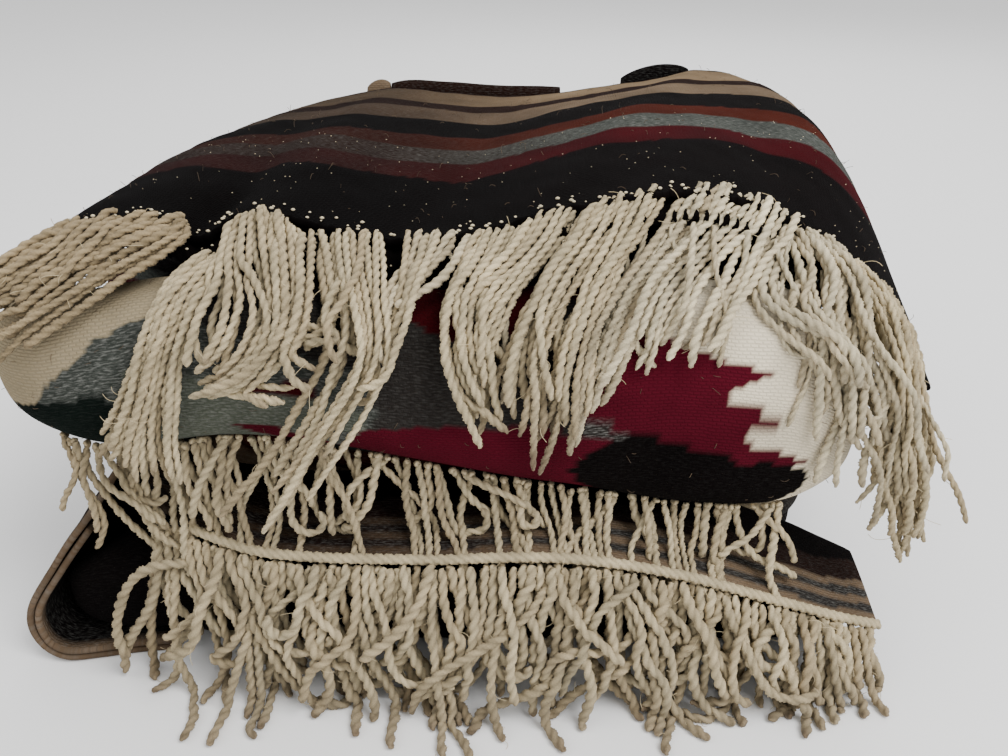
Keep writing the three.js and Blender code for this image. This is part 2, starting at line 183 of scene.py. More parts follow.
def inside(x: Array, y: Array, outline: Sequence[tuple[float, float]]) -> Array:
    """Whether each point is inside an outline, by counting the edges that a ray crosses.

    Args:
        x, y: the points.
        outline: its corners in order.
    Returns:
        True for each point inside.
    """
    hits = np.zeros(x.shape, bool)
    for (x0, y0), (x1, y1) in zip(outline, list(outline[1:]) + [outline[0]]):
        crosses = (y0 > y) != (y1 > y)
        reach = (x1 - x0) * (y - y0) / ((y1 - y0) or 1e-9) + x0
        hits ^= crosses & (x < reach)
    return hits


# ---- Frame and mesh making ----


@dataclass(frozen=True)
class Frame:
    """Where the stack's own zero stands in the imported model, in metres."""

    shift: tuple[float, float, float]

    @classmethod
    def found(cls) -> "Frame":
        """Finds it from the left bend behind the top ply, whose left end and front face are known."""
        low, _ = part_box("back_fold_left")
        return cls((low[0] - BackFolds.left_end * MM, low[1] - BackFolds.front * MM, 0.0))

    def place(self, points: Array) -> Array:
        """Millimetres in the stack's frame to metres in the model's."""
        return points * MM + np.array(self.shift)


@dataclass(frozen=True)
class Maker:
    """Makes pieces of one finish where the stack stands."""

    frame: Frame
    finish: bpy.types.Material

    def mesh(self, name: str, points: Array, faces: Array, uv: Array | None,
             tint: Array) -> bpy.types.Object:
        """Puts arrays into a new mesh object at the origin.

        Args:
            name: the piece's name.
            points: (n, 3) places in millimetres.
            faces: (m, 3) or (m, 4) corner numbers.
            uv: (n, 2) places on the cloth in metres.
            tint: (n, 4) linear colours.
        Returns:
            The object.
        """
        mesh = bpy.data.meshes.new(name)
        mesh.vertices.add(len(points))
        mesh.vertices.foreach_set("co", self.frame.place(points).astype(np.float32).ravel())
        sides = faces.shape[1]
        mesh.loops.add(faces.size)
        mesh.loops.foreach_set("vertex_index", faces.astype(np.int32).ravel())
        mesh.polygons.add(len(faces))
        mesh.polygons.foreach_set("loop_start", np.arange(0, faces.size, sides, dtype=np.int32))
        mesh.polygons.foreach_set("use_smooth", np.ones(len(faces), bool))
        mesh.update(calc_edges=True)
        mesh.validate()
        if uv is not None:
            layer = mesh.uv_layers.new(name="cloth")
            layer.data.foreach_set("uv", uv[faces.ravel()].astype(np.float32).ravel())
        colours = mesh.color_attributes.new(name="dye", type="FLOAT_COLOR", domain="POINT")
        colours.data.foreach_set("color", tint.astype(np.float32).ravel())
        piece = bpy.data.objects.new(name, mesh)
        bpy.context.scene.collection.objects.link(piece)
        mesh.materials.append(self.finish)
        return piece


def grid_faces(rows: int, columns: int, start: int = 0, wrap: bool = False) -> Array:
    """The quads of a grid of points, row by row; with wrap each row closes on itself.

    Args:
        rows, columns: of the grid.
        start: the first point's number.
        wrap: whether each row is a ring.
    Returns:
        (n, 4) corner numbers.
    """
    i = np.arange(columns if wrap else columns - 1)
    j = np.arange(rows - 1)[:, None]
    here, right = start + j * columns + i, start + j * columns + (i + 1) % columns
    return np.stack([here, right, right + columns, here + columns], -1).reshape(-1, 4)


def halves(quads: Array) -> Array:
    """Each quad as two triangles."""
    return np.concatenate([quads[:, [0, 1, 2]], quads[:, [0, 2, 3]]])


def fan(ring: Array, tip: int) -> Array:
    """The triangles from a closed ring of points to one more point."""
    return np.stack([ring, np.roll(ring, -1), np.full(len(ring), tip)], -1)


@dataclass
class ClothWall:
    """A closed wall of cloth on a surface of two parameters.

    The outer face is the surface, with relief along its normal; the inner face lies one thickness
    inside it; the four rims are half rounds, as a woven edge is.
    """

    face: Surface
    across: int
    along: int
    outward: float = 1.0  # +1 where the surface's own normal points out of the garment
    thickness: float = CLOTH
    sunk: float = 0.0
    relief: Callable[[Array, Array, Array], Array] | None = None
    rim_steps: int = 4

    def arrays(self) -> tuple[Array, Array, Array, Array]:
        """Works out the wall.

        Returns:
            Its points, quads, UV in metres, and the (rows, columns, 3) grid of its outer face.
        """
        u, v = np.meshgrid(np.linspace(0, 1, self.across + 1), np.linspace(0, 1, self.along + 1))
        base = self.face(u, v)
        normal = self._normals(base)
        lift = -self.sunk + (self.relief(u, v, base) if self.relief else 0.0)
        outer = base + normal * np.asarray(lift)[..., None] if np.ndim(lift) else base + normal * lift
        normal = self._normals(outer)
        inner = outer - normal * self.thickness
        cloth = self._cloth_places(outer)
        rows, columns = self.along + 1, self.across + 1
        count = rows * columns
        points = [outer.reshape(-1, 3), inner.reshape(-1, 3)]
        uvs = [cloth.reshape(-1, 2)] * 2
        faces = [grid_faces(rows, columns), grid_faces(rows, columns, count)[:, ::-1]]
        ring = self._border(rows, columns)
        inset = self._inward_neighbour(rows, columns)
        flat_outer, flat_inner = outer.reshape(-1, 3), inner.reshape(-1, 3)
        outwards = unit(flat_outer[ring] - flat_outer[inset])
        start = 2 * count
        previous = ring
        for step in range(1, self.rim_steps):
            turn = np.pi * step / self.rim_steps
            depth = (1 - np.cos(turn)) / 2
            middle = flat_outer[ring] * (1 - depth) + flat_inner[ring] * depth
            points.append(middle + outwards * self.thickness / 2 * np.sin(turn))
            uvs.append(cloth.reshape(-1, 2)[ring])
            now = start + np.arange(len(ring))
            faces.append(self._band(previous, now))
            previous, start = now, start + len(ring)
        faces.append(self._band(previous, ring + count))
        quads = np.concatenate(faces)
        if self.outward < 0:
            quads = quads[:, ::-1]
        return np.concatenate(points), quads, np.concatenate(uvs), outer

    def _normals(self, grid: Array) -> Array:
        """The outward normal at each grid point, from the differences along both parameters."""
        return self.outward * unit(np.cross(np.gradient(grid, axis=1), np.gradient(grid, axis=0)))

    @staticmethod
    def _cloth_places(grid: Array) -> Array:
        """Places on the flat cloth in metres: lengths added up along the middle row and each column.

        Args:
            grid: (rows, columns, 3) places in millimetres.
        Returns:
            (rows, columns, 2) places.
        """
        step_u = np.linalg.norm(np.diff(grid, axis=1), axis=-1)
        step_v = np.linalg.norm(np.diff(grid, axis=0), axis=-1)
        u = np.concatenate([np.zeros((grid.shape[0], 1)), np.cumsum(step_u, axis=1)], axis=1)
        v = np.concatenate([np.zeros((1, grid.shape[1])), np.cumsum(step_v, axis=0)], axis=0)
        u = np.broadcast_to(u.mean(axis=0), u.shape)
        return np.stack([u, v], -1) * MM

    @staticmethod
    def _border(rows: int, columns: int) -> Array:
        """The border's point numbers, once round."""
        number = np.arange(rows * columns).reshape(rows, columns)
        return np.concatenate([number[0, :-1], number[:-1, -1], number[-1, :0:-1], number[:0:-1, 0]])

    @staticmethod
    def _inward_neighbour(rows: int, columns: int) -> Array:
        """For each border point, the point next to it further in.

        Args:
            rows, columns: of the grid.
        Returns:
            The points' numbers.
        """
        j, i = np.divmod(ClothWall._border(rows, columns), columns)
        j, i = np.clip(j, 1, rows - 2), np.clip(i, 1, columns - 2)
        return j * columns + i

    @staticmethod
    def _band(first: Array, second: Array) -> Array:
        """The quads between two closed rings of equal count."""
        a, b = np.roll(first, -1), np.roll(second, -1)
        return np.stack([first, second, b, a], -1)


# ---- Finishes ----


def add_node(tree: bpy.types.NodeTree, kind: str, settings: dict | None = None,
             links: dict | None = None) -> bpy.types.Node:
    """Adds a node, sets its properties and sockets, and links its inputs.

    Args:
        tree: the node tree.
        kind: the shader node's type name.
        settings: property names or input sockets to values.
        links: input sockets to the output sockets that feed them.
    Returns:
        The node.
    """
    node = tree.nodes.new("ShaderNode" + kind)
    for key, value in (settings or {}).items():
        if isinstance(key, str) and hasattr(node, key):
            setattr(node, key, value)
        else:
            node.inputs[key].default_value = value
    for key, socket in (links or {}).items():
        tree.links.new(socket, node.inputs[key])
    return node


def start_material(name: str, roughness: float, sheen: float) -> tuple:
    """A new node material with a rough fibre surface.

    Args:
        name: the real material.
        roughness: of its fibres.
        sheen: how strongly the nap lights up at a grazing angle.
    Returns:
        The material, its tree and its shader.
    """
    material = bpy.data.materials.new(name)
    material.use_nodes = True
    tree = material.node_tree
    shader = tree.nodes["Principled BSDF"]
    shader.inputs["Roughness"].default_value = roughness
    shader.inputs["Specular IOR Level"].default_value = 0.02
    shader.inputs["Sheen Weight"].default_value = sheen
    shader.inputs["Sheen Roughness"].default_value = 0.6
    return material, tree, shader


@dataclass(frozen=True)
class WeftFacedWool:
    """Handwoven weft-faced wool: thick weft beads over a hidden warp, matt, with a soft nap.

    It gives the eye a dull, deep colour with fine rows of beads across it. The dye comes from the
    piece's own attribute; its alpha says how strongly the yarn is mixed with pale fibre, which gives
    the grey bands their flecks.
    """

    name: str = "handwoven_wool"
    bead_mm: float = 3.6  # one weft bead along the weft
    row_mm: float = 1.7  # one weft row, drawn about a third coarser than the real one so it shows
    depth_mm: float = 0.55
    sheen: float = 0.004

    def build(self) -> bpy.types.Material:
        """Makes the material."""
        material, tree, shader = start_material(self.name, 0.92, self.sheen)
        dye = add_node(tree, "Attribute", {"attribute_name": "dye"})
        uv = add_node(tree, "UVMap", {"uv_map": "cloth"})
        wander = add_node(tree, "TexNoise", {"Scale": 45.0, "Detail": 2.0},
                          {"Vector": uv.outputs["UV"]})
        moved = add_node(tree, "VectorMath", {"operation": "SCALE", "Scale": 0.0036},
                         {0: wander.outputs["Color"]})
        place = add_node(tree, "VectorMath", {"operation": "ADD"},
                         {0: uv.outputs["UV"], 1: moved.outputs[0]})
        beads = add_node(tree, "TexBrick",
                         {"offset": 0.5, "Color1": (1, 1, 1, 1), "Color2": (0.72, 0.72, 0.72, 1),
                          "Mortar": (0, 0, 0, 1), "Scale": 1.0, "Mortar Size": self.row_mm * MM * 0.4,
                          "Mortar Smooth": 1.0, "Bias": 0.0, "Brick Width": self.bead_mm * MM,
                          "Row Height": self.row_mm * MM},
                         {"Vector": place.outputs[0]})
        fibre = add_node(tree, "TexNoise", {"Scale": 900.0, "Detail": 4.0, "Roughness": 0.7},
                         {"Vector": place.outputs[0]})
        cloud = add_node(tree, "TexNoise", {"Scale": 28.0, "Detail": 3.0},
                         {"Vector": uv.outputs["UV"]})
        height = add_node(tree, "Math", {"operation": "MULTIPLY_ADD", 1: 0.45},
                          {0: fibre.outputs["Fac"], 2: beads.outputs["Color"]})
        bump = add_node(tree, "Bump", {"Strength": 0.7, "Distance": self.depth_mm * MM},
                        {"Height": height.outputs[0]})
        tree.links.new(bump.outputs["Normal"], shader.inputs["Normal"])
        # Flecks of pale fibre, stretched along the weft, where the dye says that the yarn is mixed.
        stretch = add_node(tree, "Mapping", {"Scale": (300.0, 1100.0, 1.0)},
                           {"Vector": place.outputs[0]})
        fleck = add_node(tree, "TexNoise", {"Scale": 1.0, "Detail": 3.0},
                         {"Vector": stretch.outputs[0]})
        level = add_node(tree, "MapRange",
                         {"From Min": 0.45, "From Max": 0.8, "To Min": 0.0, "To Max": 0.6},
                         {"Value": fleck.outputs["Fac"]})
        amount = add_node(tree, "Math", {"operation": "MULTIPLY"},
                          {0: level.outputs[0], 1: dye.outputs["Alpha"]})
        pale = add_node(tree, "Mix", {"data_type": "RGBA", 7: (0.26, 0.26, 0.24, 1)},
                        {0: amount.outputs[0], 6: dye.outputs["Color"]})
        # Each bead is a tone lighter or darker, and the colour is darker still between the beads: painted
        # shade in the grooves.
        shade = add_node(tree, "MapRange",
                         {"From Min": 0.0, "From Max": 1.0, "To Min": 0.88, "To Max": 1.06},
                         {"Value": beads.outputs["Color"]})
        drift = add_node(tree, "MapRange",
                         {"From Min": 0.3, "From Max": 0.7, "To Min": 0.8, "To Max": 1.2},
                         {"Value": cloud.outputs["Fac"]})
        both = add_node(tree, "Math", {"operation": "MULTIPLY"},
                        {0: shade.outputs[0], 1: drift.outputs[0]})
        colour = add_node(tree, "VectorMath", {"operation": "SCALE"},
                          {0: pale.outputs[2], "Scale": both.outputs[0]})
        tree.links.new(colour.outputs[0], shader.inputs["Base Color"])
        return material


@dataclass(frozen=True)
class TwistedYarn:
    """Hand-twisted warp yarn: soft undyed wool, fibres running round the ply, a little soiled.

    It gives the eye a warm off-white that is matt and faintly lit through, and never glossy.
    """

    name: str = "twisted_wool_yarn"
    fibre_scale: float = 1500.0  # fibres a fraction of a millimetre wide, drawn coarse to show

    def build(self) -> bpy.types.Material:
        """Makes the material."""
        material, tree, shader = start_material(self.name, 0.88, 0.06)
        shader.inputs["Subsurface Weight"].default_value = 0.04
        shader.inputs["Subsurface Radius"].default_value = (0.002, 0.0015, 0.001)
        dye = add_node(tree, "Attribute", {"attribute_name": "dye"})
        place = add_node(tree, "TexCoord")
        fibre = add_node(tree, "TexNoise",
                         {"Scale": self.fibre_scale, "Detail": 3.0, "Roughness": 0.75},
                         {"Vector": place.outputs["Object"]})
        soil = add_node(tree, "TexNoise", {"Scale": 60.0, "Detail": 4.0},
                        {"Vector": place.outputs["Object"]})
        shade = add_node(tree, "MapRange",
                         {"From Min": 0.3, "From Max": 0.7, "To Min": 0.72, "To Max": 1.12},
                         {"Value": fibre.outputs["Fac"]})
        drift = add_node(tree, "MapRange",
                         {"From Min": 0.3, "From Max": 0.7, "To Min": 0.7, "To Max": 1.1},
                         {"Value": soil.outputs["Fac"]})
        both = add_node(tree, "Math", {"operation": "MULTIPLY"},
                        {0: shade.outputs[0], 1: drift.outputs[0]})
        colour = add_node(tree, "VectorMath", {"operation": "SCALE"},
                          {0: dye.outputs["Color"], "Scale": both.outputs[0]})
        bump = add_node(tree, "Bump", {"Strength": 0.5, "Distance": 0.3 * MM},
                        {"Height": fibre.outputs["Fac"]})
        tree.links.new(colour.outputs[0], shader.inputs["Base Color"])
        tree.links.new(bump.outputs["Normal"], shader.inputs["Normal"])
        return material


# ---- The dye of the bands and the pattern ----


@dataclass(frozen=True)
class Band:
    """One woven band: where it ends, measured along the warp, its wool and how mixed it is."""

    end: float
    wool: Wool
    mixed: float = 0.0


def band_dye(bands: Sequence[Band], distance: Array, places: Array, seed: int) -> Array:
    """The dye of a banded cloth: each point takes the band that its distance falls in.

    Args:
        bands: the bands in order.
        distance: millimetres along the warp.
        places: (..., 3) places, which let the band edges wander a little.
        seed: for the wander.
    Returns:
        (..., 4) linear colours, with the mixing in the last channel.
    """
    x = places[..., 0]
    wander = 2.2 * waves(x, distance, seed, 90.0) + 0.9 * waves(x, distance, seed + 1, 14.0)
    ends = np.array([band.end for band in bands])
    index = np.clip(np.searchsorted(ends, distance + wander), 0, len(bands) - 1)
    table = np.array([[*linear(band.wool.value), band.mixed] for band in bands])
    dye = table[index]
    # Towards the left the bands are blended into one brown, the black ones excepted.
    left = np.clip((50 - x) / 130, 0, 1)[..., None]
    left_blend_brown = np.array([*linear(Wool.LEFT_BROWN.value), 0.25])
    grey, dark = (np.array([band.wool is wool for band in bands])[index][..., None]
                  for wool in (Wool.GREY, Wool.BLACK))
    share = np.where(dark, 0.0, np.where(grey, 0.85, 0.5)) * left
    dye = dye * (1 - share) + left_blend_brown * share
    # Painted shade: towards the left the bands are also darkened by up to half.
    dye[..., :3] *= 1 - 0.5 * left
    return dye


TOP_BANDS = (
    Band(92, Wool.BLACK, 0.01), Band(124, Wool.MAROON), Band(158, Wool.GREY, 0.9),
    Band(188, Wool.RUST, 0.05), Band(236, Wool.BLACK, 0.02), Band(280, Wool.TAUPE, 0.3),
    Band(306, Wool.BROWN), Band(362, Wool.TAN, 0.35), Band(372, Wool.BROWN), Band(999, Wool.BLACK),
)
LOWER_BANDS = (
    Band(3, Wool.TAUPE, 0.3), Band(9, Wool.CHARCOAL, 0.6), Band(14, Wool.TAUPE, 0.3),
    Band(20, Wool.CHARCOAL, 0.8), Band(25, Wool.TAUPE, 0.4), Band(40, Wool.BROWN, 0.2),
    Band(999, Wool.BLACK, 0.02),
)


@dataclass(frozen=True)
class Motif:
    """One woven shape of the pattern: its outline across the cloth (x) and up the fold (z)."""

    wool: Wool
    outline: tuple[tuple[float, float], ...]
    mixed: float = 0.0


PATTERN = (
    Motif(Wool.CHARCOAL, ((-150, 260), (44, 260), (44, 60), (-150, 60)), 0.2),
    Motif(Wool.MAROON, ((-60, 260), (30, 260), (20, 196), (-20, 190), (-50, 204))),
    Motif(Wool.GREY, ((-168, 201), (-150, 205), (-60, 176), (-60, 60), (-230, 60), (-217, 158),
                      (-208, 172),
                      (-202, 178), (-190, 186), (-184, 194), (-176, 195)), 0.9),
    Motif(Wool.GREY_GREEN, ((-172, 180), (-120, 172), (-66, 158), (-60, 128), (-130, 120),
                            (-172, 140)), 0.9),
    Motif(Wool.MAROON, ((-146, 171), (-118, 174), (-86, 171), (-84, 164), (-110, 166))),
    Motif(Wool.GREEN_BLACK, ((-260, 157), (-226, 158), (-199, 164), (-182, 166), (-170, 156),
                             (-166, 60),
                             (-260, 60)), 0.05),
    Motif(Wool.BURGUNDY, ((-128, 151), (-108, 150), (-92, 141), (-60, 126), (-60, 60), (-100, 60),
                          (-96, 131), (-112, 141))),
    Motif(Wool.GREY, ((-84, 154), (-73, 146), (-66, 138), (-84, 134)), 1.0),
    Motif(Wool.BURGUNDY, ((-86, 128), (-66, 147), (-40, 150), (8, 150), (44, 147), (60, 150), (60, 60),
                          (-100, 60))),
    Motif(Wool.BURGUNDY, ((30, 260), (62, 260), (62, 200), (84, 190), (104, 183), (121, 178),
                          (112, 173),
                          (98, 168), (112, 163), (131, 154), (121, 149), (110, 144), (126, 138), (148, 128),
                          (128, 128), (112, 131), (84, 134), (60, 142), (36, 149))),
    Motif(Wool.CHARCOAL, ((34, 153), (62, 149), (74, 146), (60, 144), (36, 146)), 1.0),
    Motif(Wool.BLACK, ((31, 124), (36, 133), (46, 141), (62, 147), (76, 144), (92, 138), (109, 134),
                       (111, 131), (128, 131), (132, 129), (146, 124), (146, 116), (141, 108), (132, 101),
                       (118, 99), (104, 96), (96, 92), (88, 60), (54, 60), (50, 104), (38, 114)), 0.04),
)


WEFT_STEP = 1.9  # height of one step in the pattern's edges


def pattern_dye(x: Array, z: Array) -> Array:
    """The pattern's dye: the last motif that holds the point, on a cream ground.

    Each weft row is shifted a little, so an edge is stepped as a woven one is.

    Args:
        x, z: places across the cloth and up the fold.
    Returns:
        (n, 4) linear colours.
    """
    rng = np.random.default_rng(5)
    shifts = rng.uniform(-0.9, 0.9, 400)
    x = x + shifts[np.clip((z / WEFT_STEP).astype(int) + 40, 0, len(shifts) - 1)]
    dye = np.broadcast_to([*linear(Wool.CREAM.value), 0.1], (*x.shape, 4)).copy()
    # Painted shade: towards the left the cream ground is blended into a darker cream.
    shade = np.clip((60 - x) / 200, 0, 1)[..., None]
    dye = dye * (1 - shade) + np.array([*linear(Wool.CREAM_PAINTED_SHADE.value), 0.25]) * shade
    for motif in PATTERN:
        dye[inside(x, z, motif.outline)] = [*linear(motif.wool.value), motif.mixed]
    return dye


# ---- The plies ----


@dataclass(frozen=True)
class Crease:
    """A soft trough, or a ridge where its height is above zero, that runs back over the top ply."""

    height: float
    x: float  # where it crosses the front edge
    lean: float  # how far to the right it moves with each millimetre back
    width: float
    y: float = 34.0  # how far back it is deepest
    reach: float = np.inf  # how far it runs from there

    def at(self, x: Array, y: Array) -> Array:
        """Its height over each place: a bell curve across it, times one along it."""
        across = (x - self.x - self.lean * (y - TopPly.front)) / self.width
        return self.height * np.exp(-across ** 2) * np.exp(-((y - self.y) / self.reach) ** 2)


@dataclass
class TopPly:
    """The top ply over the mounds of the stack, and the second ply that shows at its edge.

    Each station across the ply has a place and a height at its front (xf, zf), at its middle
    (xm, zm) and at its back (xb, zb).
    """

    front: float = 34.0
    back: float = 396.0
    back_round: float = 22.0
    back_turn: float = np.radians(75)
    scallop: float = 0.8  # height of the scallops that the fringe draws in the edge
    scallop_pitch: float = 5.1
    scallop_reach: float = 7.0
    second_droop: float = 5.0
    creases: tuple[Crease, ...] = (
        Crease(-7.0, -143, 0.10, 9, 34, 70), Crease(-2.6, -48, 0.22, 14, 60, 120),
        Crease(2.2, 20, 0.35, 16), Crease(-2.0, 132, 0.12, 12, 100, 120))
    stations: tuple[dict, ...] = table(
        "xf zf xm zm xb zb",
        (-217, 221, -213, 211, -200, 186), (-204, 232, -199, 223, -186, 200),
        (-172, 238, -166, 231, -152, 214), (-141, 234, -136, 231, -118, 221),
        (-112, 239, -104, 236, -84, 226), (-72, 230, -62, 231, -46, 222),
        (-22, 228, -12, 228, 0, 219), (32, 241, 40, 240, 52, 223), (84, 249, 94, 248, 104, 231),
        (126, 240, 142, 248, 150, 237), (158, 219, 186, 241, 182, 235),
        (188, 187, 211, 219, 203, 221), (215, 148, 225, 186, 213, 198))

    outer: Array = field(init=False, repr=False)
    second_outer: Array = field(init=False, repr=False)

    def __post_init__(self) -> None:
        """Prepares the curves through the stations, and the length with the turn at the back."""
        rows = counted(self.stations)
        self.columns = {name: through(rows, "along", name) for name in self.stations[0]}
        self.length = 1 + self.back_turn * self.back_round / (self.back - self.front)

    def face(self, u: Array, v: Array) -> Array:
        """The outer face: across from left to right, back from the front edge, then round and down.

        Each station's place and height run as a parabola through its front, middle and back.

        Args:
            u: across, from 0 to 1.
            v: back, from 0 to 1 at the back edge, and on round the turn.
        Returns:
            (..., 3) places in millimetres.
        """
        flat = np.minimum(v, 1)
        weights = (2 * (flat - 0.5) * (flat - 1), 4 * flat * (1 - flat), 2 * flat * (flat - 0.5))
        x = sum(w * self.columns[n](u) for w, n in zip(weights, ("xf", "xm", "xb")))
        z = sum(w * self.columns[n](u) for w, n in zip(weights, ("zf", "zm", "zb")))
        turn = np.maximum(v - 1, 0) * (self.back - self.front) / self.back_round
        y = self.front + flat * (self.back - self.front) + self.back_round * np.sin(turn)
        return np.stack([x, y, z - self.back_round * (1 - np.cos(turn))], -1)

    def edge_height(self, x: Array) -> Array:
        """The height of the front edge over each x.

        Args:
            x: the places.
        Returns:
            The heights.
        """
        u = np.linspace(0, 1, 400)
        edge = self.face(u, np.zeros(400))
        return np.interp(x, edge[:, 0], edge[:, 2])

    def edge_place(self, x: Array) -> Array:
        """How far across, from 0 to 1, the front edge reaches each x."""
        u = np.linspace(0, 1, 400)
        return np.interp(x, self.face(u, np.zeros(400))[:, 0], u)

    def relief(self, u: Array, v: Array, base: Array) -> Array:
        """The main creases, a soft unevenness, and scallops along the front edge.

        Args:
            u, v: the surface's parameters, which it doesn't need.
            base: (..., 3) places on the smooth ply.
        Returns:
            The height over the smooth ply, in millimetres.
        """
        x, y = base[..., 0], base[..., 1]
        height = 1.3 * waves(x, y, 11, 70.0) + 0.5 * waves(x, y, 12, 24.0)
        for crease in self.creases:
            height += crease.at(x, y)
        scallop = np.sin(2 * np.pi * x / self.scallop_pitch)
        return height + np.exp(-(y - self.front) / self.scallop_reach) * self.scallop * scallop

    def build(self, make: Maker) -> list[bpy.types.Object]:
        """Makes the top ply and the second ply.

        Args:
            make: makes the pieces.
        Returns:
            Both objects.
        """
        wall = ClothWall(lambda u, v: self.face(u, v * self.length), 180, 140, relief=self.relief)
        points, faces, uv, outer = wall.arrays()
        dye = band_dye(TOP_BANDS, uv[:, 1] / MM, points, 21)
        top = make.mesh("top_ply_cloth", points, faces, uv, dye)
        self.outer = outer

        def second(u: Array, v: Array) -> Array:
            """The top ply's own face, a little further forward, and drooping at its edge.

            Args:
                u, v: across, and back from the edge.
            Returns:
                (..., 3) places in millimetres.
            """
            edge = np.maximum(1 - v * 3, 0)
            grid = self.face(0.015 + u * 0.95, v * 0.2 - 0.03)
            grid[..., 2] -= self.second_droop * edge * edge
            return grid

        wall = ClothWall(second, 200, 30, sunk=CLOTH + 4 * GAP, relief=self.relief)
        points, faces, uv, self.second_outer = wall.arrays()
        dye = np.broadcast_to([*linear(Wool.BLACK.value), 0.01], (len(points), 4))
        under = make.mesh("second_ply_cloth", points, faces, uv, dye)
        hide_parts("top_ply")
        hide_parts("second_ply")
        return [top, under]


@dataclass
class FrontFold:
    """A ply folded over the front: forward, down a rounded face, and back, towards a focus line.

    Each station stands at x, y and reaches from its low to its top height.
    """

    stations: tuple[dict, ...]
    focus: tuple[float, float, float]  # the line's left and right ends, and its place in depth
    arm: float = 34.0  # how far the fold's arms run into the stack
    arm_share: float = 0.2  # the share of the surface's second parameter that each arm takes
    most_bend: float = 26.0  # the largest radius of the fold

    def face(self, u: Array, v: Array) -> Array:
        """The outer face, in the upright plane from each station towards the focus line.

        Down the face the height follows a cosine, and the depth a sine, both a little squared.

        Args:
            u: across, from 0 at the left to 1 at the right.
            v: from 0 at the upper arm's end, over the fold, to 1 at the lower arm's end.
        Returns:
            (..., 3) places in millimetres.
        """
        rows = counted(self.stations)
        x, y, top, low = (through(rows, "along", name)(u) for name in ("x", "y", "top", "low"))
        low = np.maximum(low, 0)
        left, right, depth = self.focus
        inward = unit(np.stack([np.clip(x, left, right) - x, depth - y], -1))
        half = (top - low) / 2
        bend = np.minimum(half, self.most_bend)
        share = self.arm_share
        angle = np.clip((v - share) / (1 - 2 * share), 0, 1) * np.pi
        arm = np.maximum(np.maximum(share - v, v - (1 - share)), 0) / share * (self.arm - bend)
        square = np.sign(np.cos(angle)) * np.abs(np.cos(angle)) ** 0.7
        inset = bend * (1 - np.abs(np.sin(angle)) ** 0.8) + arm
        return np.stack([x + inward[..., 0] * inset, y + inward[..., 1] * inset,
                         low + half * (1 + square)], -1)


PATTERN_FOLD = FrontFold(table(
    "x y top low",
    (-244, 34, 196, 160), (-238, 6, 200, 147), (-216, -9, 201, 137), (-180, -13, 209, 131),
    (-125, -12, 212, 137), (-70, -12, 208, 128), (-20, -13, 205, 117), (40, -14, 209, 107),
    (95, -14, 211, 98), (139, -12, 205, 97), (164, -2, 190, 102), (176, 18, 178, 108),
    (178, 40, 170, 112)), (-196, 128, 62))

BOTTOM_FOLD = FrontFold(table(
    "x y top low",
    (-240, 36, 42, 22), (-233, 14, 50, 14), (-212, 3, 62, 9), (-170, 0, 70, 8.6), (-138, -1, 73, 0),
    (-60, 0, 74, 0), (30, 0, 75, 0), (100, 1, 60, 0), (150, 5, 42, 0), (182, 18, 27, 0),
    (192, 40, 22, 0)), (-190, 142, 66))


